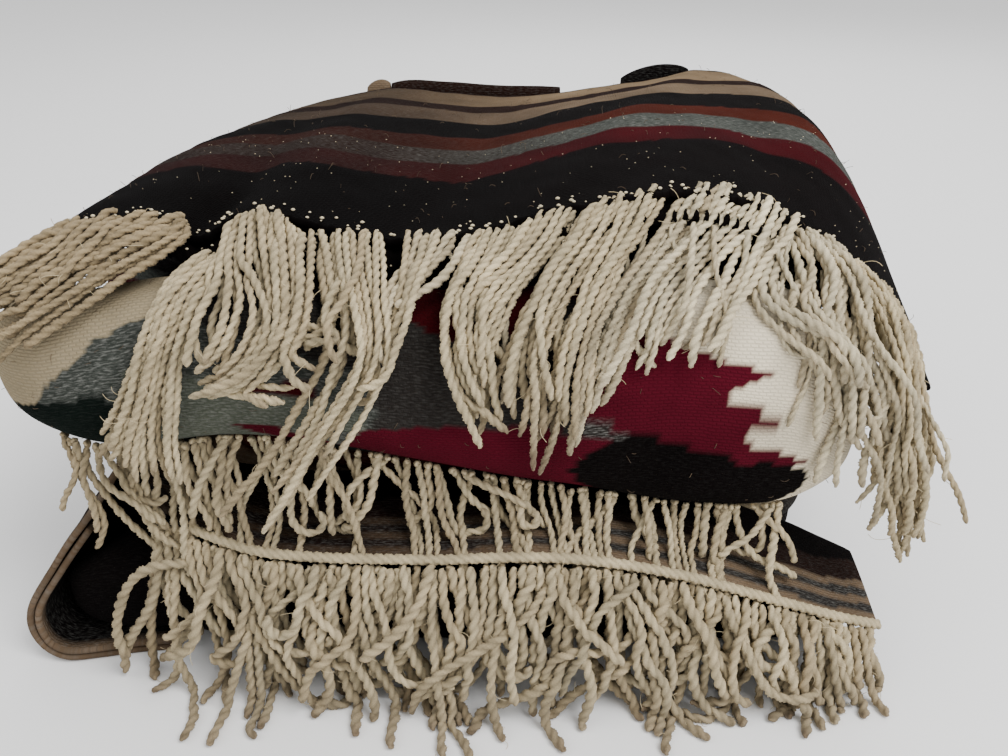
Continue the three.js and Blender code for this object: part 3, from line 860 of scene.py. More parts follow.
@dataclass
class MiddleAndBottom:
    """The pattern fold, the bottom fold, the loop at the left, and the lower end.

    The loop's profile is in x and z, and front is how far forward its edge comes. The lower end's
    edge has a height z and a front at each x.
    """

    loop: tuple[dict, ...] = table(
        "x z front",
        (-196, 118, 34), (-205, 100, 26), (-219, 80, 16), (-238, 55, 8), (-253, 31, 2),
        (-250, 12, -2), (-236, 2, -4), (-216, 0, 0), (-198, 0, 4), (-180, 0, 6))
    loop_back: float = 384.0
    lower: tuple[dict, ...] = table(
        "x z front",
        (-186, 97, 12), (-150, 89, -4), (-112, 83, -14), (-40, 83, -18), (30, 85, -20),
        (90, 74, -20), (140, 56, -18), (174, 41, -12), (196, 29, -3))
    lower_run: float = 46.0  # how far back the lower end reaches
    lower_rise: float = 7.0
    selvage: float = 4.0  # width of the paler woven edge on the loop

    def __post_init__(self) -> None:
        """Prepares the curves along the lower end's edge."""
        self.lower_z = through(self.lower, "x", "z")
        self.lower_front = through(self.lower, "x", "front")

    def loop_face(self, start: float) -> Surface:
        """The ply that turns round the bottom fold, from a start along its profile.

        Args:
            start: the share of the profile to leave out.
        Returns:
            The outer face as a surface.
        """
        rows = counted(self.loop)
        x, z, front = (through(rows, "along", name) for name in ("x", "z", "front"))

        def face(u: Array, v: Array) -> Array:
            """The profile carried straight back.

            Args:
                u, v: along the profile, and back.
            Returns:
                (..., 3) places in millimetres.
            """
            along = start + (1 - start) * u
            y = front(along) + v * (self.loop_back - front(along))
            return np.stack([x(along), y, np.maximum(z(along), 0)], -1)

        return face

    def lower_face(self, set_back: float) -> Surface:
        """The lower end, rising a little from its front edge to the stack.

        Args:
            set_back: how far its edge stands behind the upper ply's.
        Returns:
            The outer face as a surface.
        """

        def face(u: Array, v: Array) -> Array:
            """Across at the edge's height, back over its run.

            Args:
                u, v: across, and back.
            Returns:
                (..., 3) places in millimetres.
            """
            x = self.lower[0]["x"] + (self.lower[-1]["x"] - self.lower[0]["x"]) * u
            start = self.lower_front(x) + set_back
            return np.stack([x, start + v * (self.lower_run - start),
                             self.lower_z(x) + self.lower_rise * v], -1)

        return face

    @staticmethod
    def soft(seed: int, height: float) -> Callable:
        """An unevenness of the cloth of about `height`."""
        return lambda u, v, base: height * waves(
            base[..., 0], base[..., 2] * 1.3 + base[..., 1], seed, 60.0)

    def build(self, make: Maker) -> list[bpy.types.Object]:
        """Makes the plies.

        Args:
            make: makes the pieces.
        Returns:
            The objects.
        """
        made = []

        def ply(name: str, wall: ClothWall, node: str, dye: Callable) -> None:
            """Makes one ply, dyed by a function of its points and cloth places.

            Args:
                name: the piece.
                wall: its shape.
                node: the solid that it stands for.
                dye: gives (n, 4) colours.
            """
            points, faces, uv, _ = wall.arrays()
            piece = make.mesh(name, points, faces, uv, dye(points, uv))
            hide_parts(node)
            made.append(piece)

        def plain(wool: Wool, mixed: float = 0.0) -> Callable:
            """One wool all over."""
            return lambda points, uv: np.broadcast_to([*linear(wool.value), mixed], (len(points), 4))

        def edged(edge: Wool, rest: Wool) -> Callable:
            """A band of one wool along the front edge, and another behind it.

            Args:
                edge, rest: the two wools.
            Returns:
                The dye as a function of points and cloth places.
            """
            def dye(points: Array, uv: Array) -> Array:
                """The dye by the distance from the front edge."""
                near = (uv[:, 1] < self.selvage * MM)[:, None]
                return np.where(near, [*linear(edge.value), 0.4], [*linear(rest.value), 0.3])
            return dye

        ply("pattern_fold_cloth",
            ClothWall(PATTERN_FOLD.face, 180, 100, -1.0, relief=self.soft(31, 1.6)), "pattern_fold",
            lambda points, uv: pattern_dye(points[:, 0], points[:, 2]))
        ply("bottom_fold_cloth", ClothWall(BOTTOM_FOLD.face, 120, 50, -1.0), "bottom_fold",
            plain(Wool.BLACK, 0.03))
        ply("loop_outer_cloth", ClothWall(self.loop_face(0.0), 64, 60, -1.0, relief=self.soft(33, 0.8)),
            "loop_outer", edged(Wool.SELVAGE, Wool.BROWN))
        ply("loop_inner_cloth", ClothWall(self.loop_face(0.24), 56, 60, -1.0, sunk=CLOTH + 2 * GAP),
            "loop_inner", edged(Wool.SELVAGE, Wool.BLACK))
        ply("lower_end_cloth", ClothWall(self.lower_face(0.0), 150, 24, relief=self.soft(35, 0.7)),
            "lower_end_ply", lambda points, uv: band_dye(LOWER_BANDS, uv[:, 1] / MM, points, 41))
        ply("lower_under_cloth", ClothWall(self.lower_face(5.0), 120, 20, sunk=CLOTH + GAP),
            "lower_under_ply", plain(Wool.BROWN, 0.4))
        return made


@dataclass
class HiddenLayers:
    """The sides and back of the stack: rounded bends of folded plies, one above another."""

    levels: tuple[dict, ...] = table(
        "z left right front back",
        (0, -150, 180, 50, 380), (20, -184, 192, 50, 388), (60, -206, 196, 50, 392),
        (92, -180, 196, 50, 394), (124, -178, 194, 50, 394), (142, -222, 194, 50, 392),
        (166, -238, 196, 50, 392), (184, -214, 194, 50, 390), (204, -190, 190, 50, 388),
        (232, -184, 178, 52, 384))
    corner: float = 4.0  # power of the rounded rectangle
    layer: float = 13.5  # height of one bend
    under_top: float = 13.8
    notch: float = 8.0  # how deep the gap between two bends runs in
    uneven: float = 5.0  # how far in a bend may stand
    count: int = 260  # points round the stack
    steps: int = 110  # rings up its sides
    painted_shade_above: float = 186.0  # above this height every bend is dyed black: painted shade where the top ply shades the bends

    def build(self, make: Maker, top: TopPly) -> list[bpy.types.Object]:
        """Makes the stack as rings up its height, each bend a rounded bulge with its own dye.

        Args:
            make: makes the pieces.
            top: the ply that covers it.
        Returns:
            The object, in a list.
        """
        columns = {n: through(self.levels, "z", n) for n in ("left", "right", "front", "back")}
        ceiling_rows = 60
        count, steps = self.count, self.steps
        angle = np.linspace(0, 2 * np.pi, count, endpoint=False)[None, :]
        level = np.linspace(0, 1, steps)[:, None]
        top_z = self.levels[-1]["z"]
        u, v = np.meshgrid(np.linspace(0, 1, ceiling_rows), np.linspace(0, 1, ceiling_rows))
        cover = top.face(u, v)

        def height_over(x: Array, y: Array) -> Array:
            """The top ply's height over each place, from the nearest of its rows, less the cover.

            Args:
                x, y: the places.
            Returns:
                The heights.
            """
            row = (y - top.front) / (top.back - top.front) * (ceiling_rows - 1)
            row = np.clip(row, 0, ceiling_rows - 1).astype(int)
            flat = np.empty(x.shape)
            for j in range(ceiling_rows):
                hit = row == j
                flat[hit] = np.interp(x[hit], cover[j, :, 0], cover[j, :, 2])
            return flat - self.under_top

        def ring(z: Array, inset: Array) -> tuple[Array, Array]:
            """A rounded rectangle at each height.

            Args:
                z: the heights.
                inset: how far in each point stands.
            Returns:
                Its x and y.
            """
            left, right = columns["left"](z) + inset, columns["right"](z) - inset
            front, back = columns["front"](z) + inset, columns["back"](z) - inset
            c, s = np.cos(angle), np.sin(angle)
            power = 2 / self.corner
            x = (left + right) / 2 + (right - left) / 2 * np.sign(c) * np.abs(c) ** power
            y = (front + back) / 2 + (back - front) / 2 * np.sign(s) * np.abs(s) ** power
            return x, y

        z = np.broadcast_to(level * top_z, (steps, count))
        x, y = ring(z, 0.0)
        z = level * np.minimum(height_over(x, y), top_z)
        about = 160 * np.cos(angle) + 120 * np.sin(angle)
        phase = z / self.layer + 0.25 * waves(about, np.zeros(z.shape), 51, 150.0)
        bend = np.abs(np.sin(np.pi * phase))
        stand = 0.5 + waves(angle * 60, np.floor(phase) * 37, 52, 60.0)
        inset = self.notch * (1 - bend ** 0.5) + self.uneven * stand
        inset = np.where(level < 0.02, 0.0, np.maximum(inset, 0))
        x, y = ring(z, inset)
        side = np.stack([x, y, np.broadcast_to(z, x.shape)], -1)
        shrink = np.linspace(0, 1, 14)[1:, None]
        middle = side[-1].mean(axis=0)
        cap_x = side[-1, :, 0] * (1 - shrink) + middle[0] * shrink
        cap_y = side[-1, :, 1] * (1 - shrink) + middle[1] * shrink
        cap = np.stack([cap_x, cap_y, np.minimum(height_over(cap_x, cap_y), top_z)], -1)
        rings = np.concatenate([side, cap[:-1]])
        points = np.concatenate([rings.reshape(-1, 3), [[*middle[:2], cap[-1, :, 2].mean()]],
                                 [[side[0, :, 0].mean(), side[0, :, 1].mean(), 0.0]]])
        faces = grid_faces(len(rings), count, wrap=True)
        last = (len(rings) - 1) * count + np.arange(count)
        triangles = np.concatenate([fan(last, len(points) - 2),
                                    fan(np.arange(count), len(points) - 1)[:, [1, 0, 2]]])
        piece = self._assemble(make, points, faces, triangles, phase, rings)
        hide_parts("folded_core")
        return [piece]

    def _assemble(self, make: Maker, points: Array, faces: Array,
                  caps: Array, phase: Array, rings: Array) -> bpy.types.Object:
        """Dyes the bends, each in its own wool, those under the top ply black as painted shade, and makes
        the mesh from triangles.

        Args:
            make: makes the pieces.
            points, faces, caps: the mesh, and the triangles that close it.
            phase: how many bends up each point is.
            rings: the rings of points.
        Returns:
            The object.
        """
        rng = np.random.default_rng(6)
        # The darker cream among these wools is cream with painted shade.
        choice = [Wool.BLACK, Wool.MAROON, Wool.CREAM_PAINTED_SHADE, Wool.BLACK, Wool.BURGUNDY, Wool.TAUPE,
                  Wool.CHARCOAL, Wool.RUST, Wool.GREY, Wool.BLACK]
        table = np.array([[*linear(w.value), 0.3] for w in choice])
        order = rng.permutation(len(choice) * 4) % len(choice)
        dye = np.empty((len(points), 4))
        dye[:] = [*linear(Wool.BLACK.value), 0.1]
        index = order[np.clip(np.floor(phase).astype(int), 0, len(order) - 1)]
        dye[:phase.size] = table[index].reshape(-1, 4)
        # Painted shade: every point of the bends higher up, where the top ply shades them, is dyed black.
        shaded_high = points[:, 2] > self.painted_shade_above
        dye[shaded_high] = [*linear(Wool.BLACK.value), 0.1]
        around = np.linspace(0, 1.4, rings.shape[1])
        uv = np.zeros((len(points), 2))
        uv[:rings.shape[0] * rings.shape[1], 0] = np.tile(around, rings.shape[0])
        uv[:, 1] = points[:, 2] * MM
        triangles = np.concatenate([halves(faces), caps])
        return make.mesh("hidden_layers", points, triangles, uv, dye)


@dataclass
class BackFolds:
    """The low bends of dark cloth behind the top ply, and the pale end of a band.

    Each has its name, its left and right end, its height, its thickness and its wool.
    """

    left_end: float = -92.0
    front: float = 419.0
    bends: tuple[tuple, ...] = (
        ("back_fold_left", -92.0, 46.0, 5.0, 12.0, Wool.BROWN),
        ("back_fold_end", -112.0, -93.0, 4.0, 12.0, Wool.TAUPE),
        ("back_fold_right", 96.0, 150.0, 6.0, 14.0, Wool.BLACK),
    )
    foot: float = 26.0  # how far each reaches below the top ply's edge
    columns: int = 50
    turn_steps: int = 14

    def build(self, make: Maker, top: TopPly) -> list[bpy.types.Object]:
        """Makes each bend as a rounded ridge that follows the top ply's back edge.

        Args:
            make: makes the pieces.
            top: the ply that they stand behind.
        Returns:
            The objects.
        """
        made = []
        for name, left, right, height, thick, wool in self.bends:
            x = np.linspace(left, right, self.columns)
            edge = top.face(np.linspace(0, 1, 300), np.ones(300))
            base = np.interp(x, edge[:, 0], edge[:, 2]) - self.foot
            swell = np.sin(np.pi * np.linspace(0.04, 0.96, self.columns)) ** 0.5 * 1.6 - 0.8
            tall = self.foot + height * swell
            turn = np.linspace(0, np.pi, self.turn_steps)
            side = thick / 2 * (1 - np.cos(turn))
            rise = 0.6 + 0.4 * np.sin(turn)
            profile_y = np.concatenate([side, [thick, 0.0]])
            profile_z = np.concatenate([rise, [0.0, 0.0]])
            grid = np.stack(np.broadcast_arrays(x[:, None], self.front + profile_y[None, :],
                                                base[:, None] + tall[:, None] * profile_z[None, :]), -1)
            grid[..., 1] += 0.6 * waves(grid[..., 0], grid[..., 2], 61, 20.0)
            points = grid.reshape(-1, 3)
            count = len(profile_y)
            ends = [points[:count].mean(axis=0), points[-count:].mean(axis=0)]
            faces = grid_faces(self.columns, count, wrap=True)
            ring = np.arange(count)
            last = (self.columns - 1) * count + ring
            triangles = np.concatenate([halves(faces)[:, [0, 2, 1]], fan(ring, len(points)),
                                        fan(last, len(points) + 1)[:, [1, 0, 2]]])
            points = np.concatenate([points, ends])
            uv = points[:, [0, 2]] * MM
            dye = np.broadcast_to([*linear(wool.value), 0.2], (len(points), 4))
            piece = make.mesh(name + "_cloth", points, triangles, uv, dye)
            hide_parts(name)
            made.append(piece)
        return made


# ---- Yarn and fringe ----

GROOVE = {2: 0.38, 3: 0.26}  # how deep the groove between plies is, as a share of the radius


@dataclass(frozen=True)
class Yarn:
    """A twisted yarn: its radius, how many plies twist together, and the length of one turn."""

    radius: float
    plies: int = 2
    turn: float = 11.0
    sides: int = 8
    step: float = 1.5
    root_cap: float = 0.4
    tip_cap: float = 0.7
    longest: float = 1.25  # the longest strand, as a share of the upper quarter's length

    @staticmethod
    def _run(paths: Array) -> Array:
        """The length from each path's start to each of its points."""
        steps = np.linalg.norm(np.diff(paths, axis=1), axis=-1)
        return np.concatenate([np.zeros((len(paths), 1)), np.cumsum(steps, axis=1)], axis=1)

    def arrays(self, paths: Array, phases: Array, thin: Array) -> tuple[Array, Array, Array]:
        """Carries the plied section along each path.

        The section's radius dips between the plies, and it turns once every `turn` millimetres.

        Args:
            paths: (strands, n, 3) points in millimetres.
            phases: each strand's start angle.
            thin: (strands, n) share of the full radius.
        Returns:
            Points, triangles, and for each point its place along its strand from 0 to 1 and its
            painted shade, darker in the groove between the plies.
        """
        paths, thin = self._even(paths, thin)
        strands, n = paths.shape[:2]
        tangent = unit(np.gradient(paths, axis=1))
        across = unit(np.cross(tangent[:, 0], [0.3, 0.8, 0.52]))
        normals = np.empty_like(paths)
        for i in range(n):
            across = unit(across - (across * tangent[:, i]).sum(-1, keepdims=True) * tangent[:, i])
            normals[:, i] = across
        other = np.cross(tangent, normals)
        corner = np.linspace(0, 2 * np.pi, self.sides, endpoint=False)
        depth = GROOVE[self.plies]
        profile = 1 - depth * (1 - np.abs(np.cos(self.plies * corner / 2)))
        angle = (self._run(paths) * 2 * np.pi / self.turn + phases[:, None])[..., None] + corner
        spread = self.radius * thin[..., None] * profile
        ring = (paths[:, :, None] + normals[:, :, None] * (spread * np.cos(angle))[..., None]
                + other[:, :, None] * (spread * np.sin(angle))[..., None])
        points = ring.reshape(strands, -1, 3)
        ends = np.stack([paths[:, 0] - tangent[:, 0] * self.root_cap,
                         paths[:, -1] + tangent[:, -1] * self.tip_cap], 1)
        points = np.concatenate([points, ends], axis=1)
        first = np.arange(self.sides)
        faces = np.concatenate([halves(grid_faces(n, self.sides, wrap=True)),
                                fan(first, n * self.sides)[:, [1, 0, 2]],
                                fan((n - 1) * self.sides + first, n * self.sides + 1)])
        per = points.shape[1]
        faces = (faces[None] + per * np.arange(strands)[:, None, None]).reshape(-1, 3)
        along = np.concatenate([np.repeat(np.linspace(0, 1, n), self.sides), [0, 1]])
        # Painted shade: the colour factor follows the profile, so it is darker in the groove between the
        # plies.
        shade = np.concatenate([np.tile(profile, n), [1, 1]])
        both = np.stack([np.tile(along, strands), np.tile(shade, strands)], -1)
        return points.reshape(-1, 3), faces, both

    def _even(self, paths: Array, thin: Array) -> tuple[Array, Array]:
        """Places points evenly along every path, about one step apart on the longest.

        Args:
            paths, thin: the places, and the share of the full radius.
        Returns:
            Both, on even points.
        """
        length = self._run(paths)
        usual = np.percentile(length[:, -1], 75)
        n = int(np.clip(usual / self.step, 8, 150))
        even = np.empty((len(paths), n, 3))
        even_thin = np.empty((len(paths), n))
        for k, (path, run) in enumerate(zip(paths, length)):
            at = np.linspace(0, min(run[-1], self.longest * usual), n)
            even[k] = np.stack([np.interp(at, run, path[:, c]) for c in range(3)], -1)
            even_thin[k] = np.interp(at, run, thin[k])
        return even, even_thin


def smooth_guide(points: Sequence[tuple[float, float, float]], count: int) -> Array:
    """A smooth curve of `count` points through a few, rounded by averaging neighbours.

    Args:
        points: the guide's places.
        count: points on the curve.
    Returns:
        (count, 3) places.
    """
    points = np.array(points, float)
    run = np.concatenate([[0], np.cumsum(np.linalg.norm(np.diff(points, axis=0), axis=1))])
    at = np.linspace(0, run[-1], count)
    curve = np.stack([np.interp(at, run, points[:, c]) for c in range(3)], -1)
    for _ in range(count // 5):
        curve[1:-1] = (curve[:-2] + 2 * curve[1:-1] + curve[2:]) / 4
    return curve


STRAND_POINTS = 44  # points on a strand while it is laid and settled


@dataclass(frozen=True)
class Lock:
    """A lock of fringe: given guide strands, between which its strands are spread."""

    name: str
    node: str
    count: int
    guides: tuple[tuple[tuple[float, float, float], ...], ...]
    stray: float = 5.0  # how far a strand wanders from its place
    layers: int = 3
    wool: Wool = Wool.YARN
    ragged: float = 0.25  # how unevenly long the strands are, as a share
    seed: int = 0
    root_rise: float = 4.0
    layer_depth: float = 3.4

    def paths(self, count_points: int = STRAND_POINTS) -> Array:
        """Spreads the strands between the guides, each with its own wander, length and depth.

        Args:
            count_points: points on each strand.
        Returns:
            (strands, points, 3) paths in millimetres.
        """
        rng = np.random.default_rng(900 + self.seed)
        guides = np.stack([smooth_guide(g, count_points) for g in self.guides])
        where = np.linspace(0, 1, self.count) + rng.normal(0, 0.55 / self.count, self.count)
        where = np.sort(np.clip(where, 0, 1)) * (len(guides) - 1)
        i = np.clip(where.astype(int), 0, len(guides) - 2)
        f = (where - i)[:, None, None]
        strands = guides[i] * (1 - f) + guides[i + 1] * f
        t = np.linspace(0, 1, count_points)
        for axis, share in ((0, 1.0), (2, 0.5), (1, 0.5)):
            for waves_in in (1.2, 2.6, 5.0):
                size = rng.normal(0, self.stray / waves_in, (self.count, 1)) * share
                phase = rng.uniform(0, 2 * np.pi, (self.count, 1))
                sway = np.sin(2 * np.pi * waves_in * t * 0.5 + phase) - np.sin(phase)
                strands[..., axis] += size * sway * t ** 0.7
        root = np.clip(1 - t * 9, 0, 1)
        for axis in (2, 1):
            strands[..., axis] += root * rng.uniform(0.0, self.root_rise, (self.count, 1))
        layer = rng.integers(0, self.layers, self.count)[:, None]
        strands[..., 1] -= layer * self.layer_depth * np.clip(t * 6, 0, 1)
        keep = 1 - self.ragged * rng.random(self.count) ** 1.5
        cut = np.empty_like(strands)
        for k in range(self.count):
            at = np.linspace(0, keep[k], count_points)
            cut[k] = np.stack([np.interp(at, t, strands[k, :, c]) for c in range(3)], -1)
        return cut


def hanging_row(xs: Array, root: Callable, drop: Array, lean: Array, out: Array, seed: int,
                curl: float = 0.36, count_points: int = STRAND_POINTS) -> Array:
    """Strands that hang from a row of roots, wander, sometimes hook back, and lie on the surface.

    Each strand's direction swings about straight down by a sum of slow sines; where the strand
    would pass the surface it turns forward instead.

    Args:
        xs: where each hangs from.
        root: gives the (y, z) of the root over x.
        drop: each strand's length.
        lean: its mean swing from straight down, in radians.
        out: how far forward its middle stands.
        seed: for the wander.
        curl: how strongly it swings, in radians.
        count_points: points on each strand.
    Returns:
        (strands, points, 3) paths in millimetres.
    """
    rng = np.random.default_rng(seed)
    count = len(xs)
    t = np.linspace(0, 1, count_points)
    y0, z0 = root(xs)
    swing = lean[:, None] * np.ones_like(t)
    for waves_in in (0.8, 1.7, 3.1):
        phase = rng.uniform(0, 2 * np.pi, (count, 1))
        size = rng.normal(0, curl / waves_in ** 0.6, (count, 1))
        swing += size * np.sin(np.pi * waves_in * t + phase)
    # About a fifth of the strands hook back to one side from their middle on.
    hooked = rng.random(count) < 0.22
    hook = np.where(hooked, rng.choice([-1, 1], count) * rng.uniform(1.0, 3.4, count), 0)
    swing += hook[:, None] * np.clip((t - 0.45) / 0.55, 0, 1) ** 1.3
    swing *= np.clip(t * 6, 0, 1)  # every strand leaves its root straight down
    ds = drop[:, None] / (count_points - 1)
    x = xs[:, None] + np.cumsum(np.sin(swing), axis=1) * ds
    fall = np.cumsum(np.cos(swing), axis=1) * ds
    under = np.maximum(fall - (z0[:, None] - 2.6), 0)  # 2.6 is about the thickest yarn's radius
    bow = out[:, None] * np.sin(np.clip(t * 1.5, 0, 1) * np.pi / 2)
    return np.stack([x, y0[:, None] - bow - under * 0.85, z0[:, None] - fall + under], -1)


FAR = 900.0  # anything deeper is no cloth
CELLS = 4096  # cells along each axis of the grid in which near strands are looked for


@dataclass
class Settling:
    """Lets strands push each other apart, off the cloth and off the surface, keeping their lengths."""

    spacing: float
    rounds: int = 26
    keep_shape: float = 0.04
    parting: float = 0.45  # the share of an overlap that one strand gives way
    most_near: int = 4  # points looked at in each cell

    def run(self, paths: Array, cloth: "FrontOfCloth") -> Array:
        """Moves the strands.

        Each round pulls them a little to where they were laid, parts those that overlap, moves them
        in front of the cloth and above the surface, and restores the distance between points.

        Args:
            paths: (strands, n, 3) places, changed in place.
            cloth: what they lie on.
        Returns:
            The same paths, settled.
        """
        laid = paths.copy()
        rest = np.linalg.norm(np.diff(paths, axis=1), axis=-1)
        for _ in range(self.rounds):
            paths += (laid - paths) * self.keep_shape
            self._part(paths)
            self._keep_out(paths, cloth)
            paths[:, 0] = laid[:, 0]
            self._restore(paths, rest)
            paths[:, 1:-1] = paths[:, 1:-1] * 0.8 + (paths[:, :-2] + paths[:, 2:]) * 0.1
        self._keep_out(paths, cloth)
        return paths

    def _keep_out(self, paths: Array, cloth: "FrontOfCloth") -> None:
        """Keeps the strands' surfaces in front of the cloth and above the surface below."""
        cloth.push(paths, self.spacing / 2)
        paths[..., 2] = np.maximum(paths[..., 2], self.spacing / 2)

    @staticmethod
    def _restore(paths: Array, rest: Array) -> None:
        """Brings each gap between neighbours back to its length, even gaps and then odd ones.

        Args:
            paths: (strands, n, 3) places, changed in place.
            rest: (strands, n - 1) lengths.
        """
        for start in (0, 1):
            a, b = paths[:, start:-1:2], paths[:, start + 1::2]
            m = min(a.shape[1], b.shape[1])
            a, b = a[:, :m], b[:, :m]
            gap = b - a
            now = np.linalg.norm(gap, axis=-1, keepdims=True)
            want = rest[:, start::2][:, :m, None]
            fix = gap * (0.5 * (1 - want / np.maximum(now, 1e-6)))
            a += fix
            b -= fix

    def _part(self, paths: Array) -> None:
        """Moves apart points of different strands that are nearer than the spacing.

        Points are sorted into cells one spacing wide, and compared with those in the cells about.

        Args:
            paths: (strands, n, 3) places, changed in place.
        """
        strands, n = paths.shape[:2]
        flat = paths.reshape(-1, 3)
        owner = np.repeat(np.arange(strands), n)
        cell = np.floor(flat / self.spacing).astype(np.int64) + CELLS // 2
        key = (cell[:, 0] * CELLS + cell[:, 1]) * CELLS + cell[:, 2]
        order = np.argsort(key)
        ordered = key[order]
        move = np.zeros_like(flat)
        hits = np.zeros(len(flat))
        for a, b, c in product((-1, 0, 1), repeat=3):
            target = key + (a * CELLS + b) * CELLS + c
            start = np.searchsorted(ordered, target)
            stop = np.searchsorted(ordered, target, side="right")
            for k in range(self.most_near):
                here = np.nonzero(start + k < stop)[0]
                if not len(here):
                    break
                there = order[start[here] + k]
                apart = owner[here] != owner[there]
                here, there = here[apart], there[apart]
                gap = flat[here] - flat[there]
                distance = np.linalg.norm(gap, axis=1)
                near = (distance < self.spacing) & (distance > 1e-6)
                here, gap, distance = here[near], gap[near], distance[near]
                overlap = (self.spacing - distance)[:, None]
                push = gap / distance[:, None] * overlap * self.parting
                np.add.at(move, here, push)
                np.add.at(hits, here, 1)
        flat += move / np.maximum(hits, 1)[:, None]


@dataclass
class FrontOfCloth:
    """How far forward the cloth comes, over a grid of x and z, as a wall for the strands."""

    grids: Sequence[Array]
    cell: float = 2.0
    low: tuple[float, float] = (-290.0, -10.0)
    size: tuple[int, int] = (290, 150)
    nothing: float = 999.0  # the depth where there is no cloth

    def __post_init__(self) -> None:
        """Takes the foremost of the cloth's points in each cell, and fills the cells between."""
        front = np.full(self.size, self.nothing)
        for grid in self.grids:
            points = grid.reshape(-1, 3)
            i = ((points[:, 0] - self.low[0]) / self.cell).astype(int)
            k = ((points[:, 2] - self.low[1]) / self.cell).astype(int)
            place = (np.clip(i, 0, self.size[0] - 1), np.clip(k, 0, self.size[1] - 1))
            np.minimum.at(front, place, points[:, 1])
        rows, columns = self.size
        for _ in range(3):
            padded = np.pad(front, 1, constant_values=self.nothing)
            near = np.minimum.reduce([padded[a:rows + a, b:columns + b]
                                      for a, b in product((0, 1, 2), repeat=2)])
            front = np.where(front > FAR, near, front)
        self.front = front

    def depth(self, x: Array, z: Array) -> Array:
        """The foremost cloth over each place, between the four nearest cells.

        Args:
            x, z: the places.
        Returns:
            The cloth's y there.
        """
        a = np.clip((x - self.low[0]) / self.cell - 0.5, 0, self.size[0] - 1.001)
        b = np.clip((z - self.low[1]) / self.cell - 0.5, 0, self.size[1] - 1.001)
        i, k = a.astype(int), b.astype(int)
        f, g = a - i, b - k
        grid = self.front
        return (grid[i, k] * (1 - f) * (1 - g) + grid[i + 1, k] * f * (1 - g)
                + grid[i, k + 1] * (1 - f) * g + grid[i + 1, k + 1] * f * g)

    def push(self, paths: Array, clear: float) -> None:
        """Moves points that are behind the cloth's front forward and up, along its slope.

        Args:
            paths: (strands, n, 3) places, changed in place.
            clear: how far in front of the cloth a strand's middle stays.
        """
        x, y, z = paths[..., 0], paths[..., 1], paths[..., 2]
        here = self.depth(x, z)
        slope = np.clip((self.depth(x, z + 2) - self.depth(x, z - 2)) / 4, -0.2, 3.0)
        behind = np.where(here < FAR, y - (here - clear), 0)
        behind = np.clip(behind, 0, 14)  # further behind than this, a strand hangs under a fold
        steep = 1 + slope ** 2
        paths[..., 1] -= behind / steep
        paths[..., 2] += behind * slope / steep


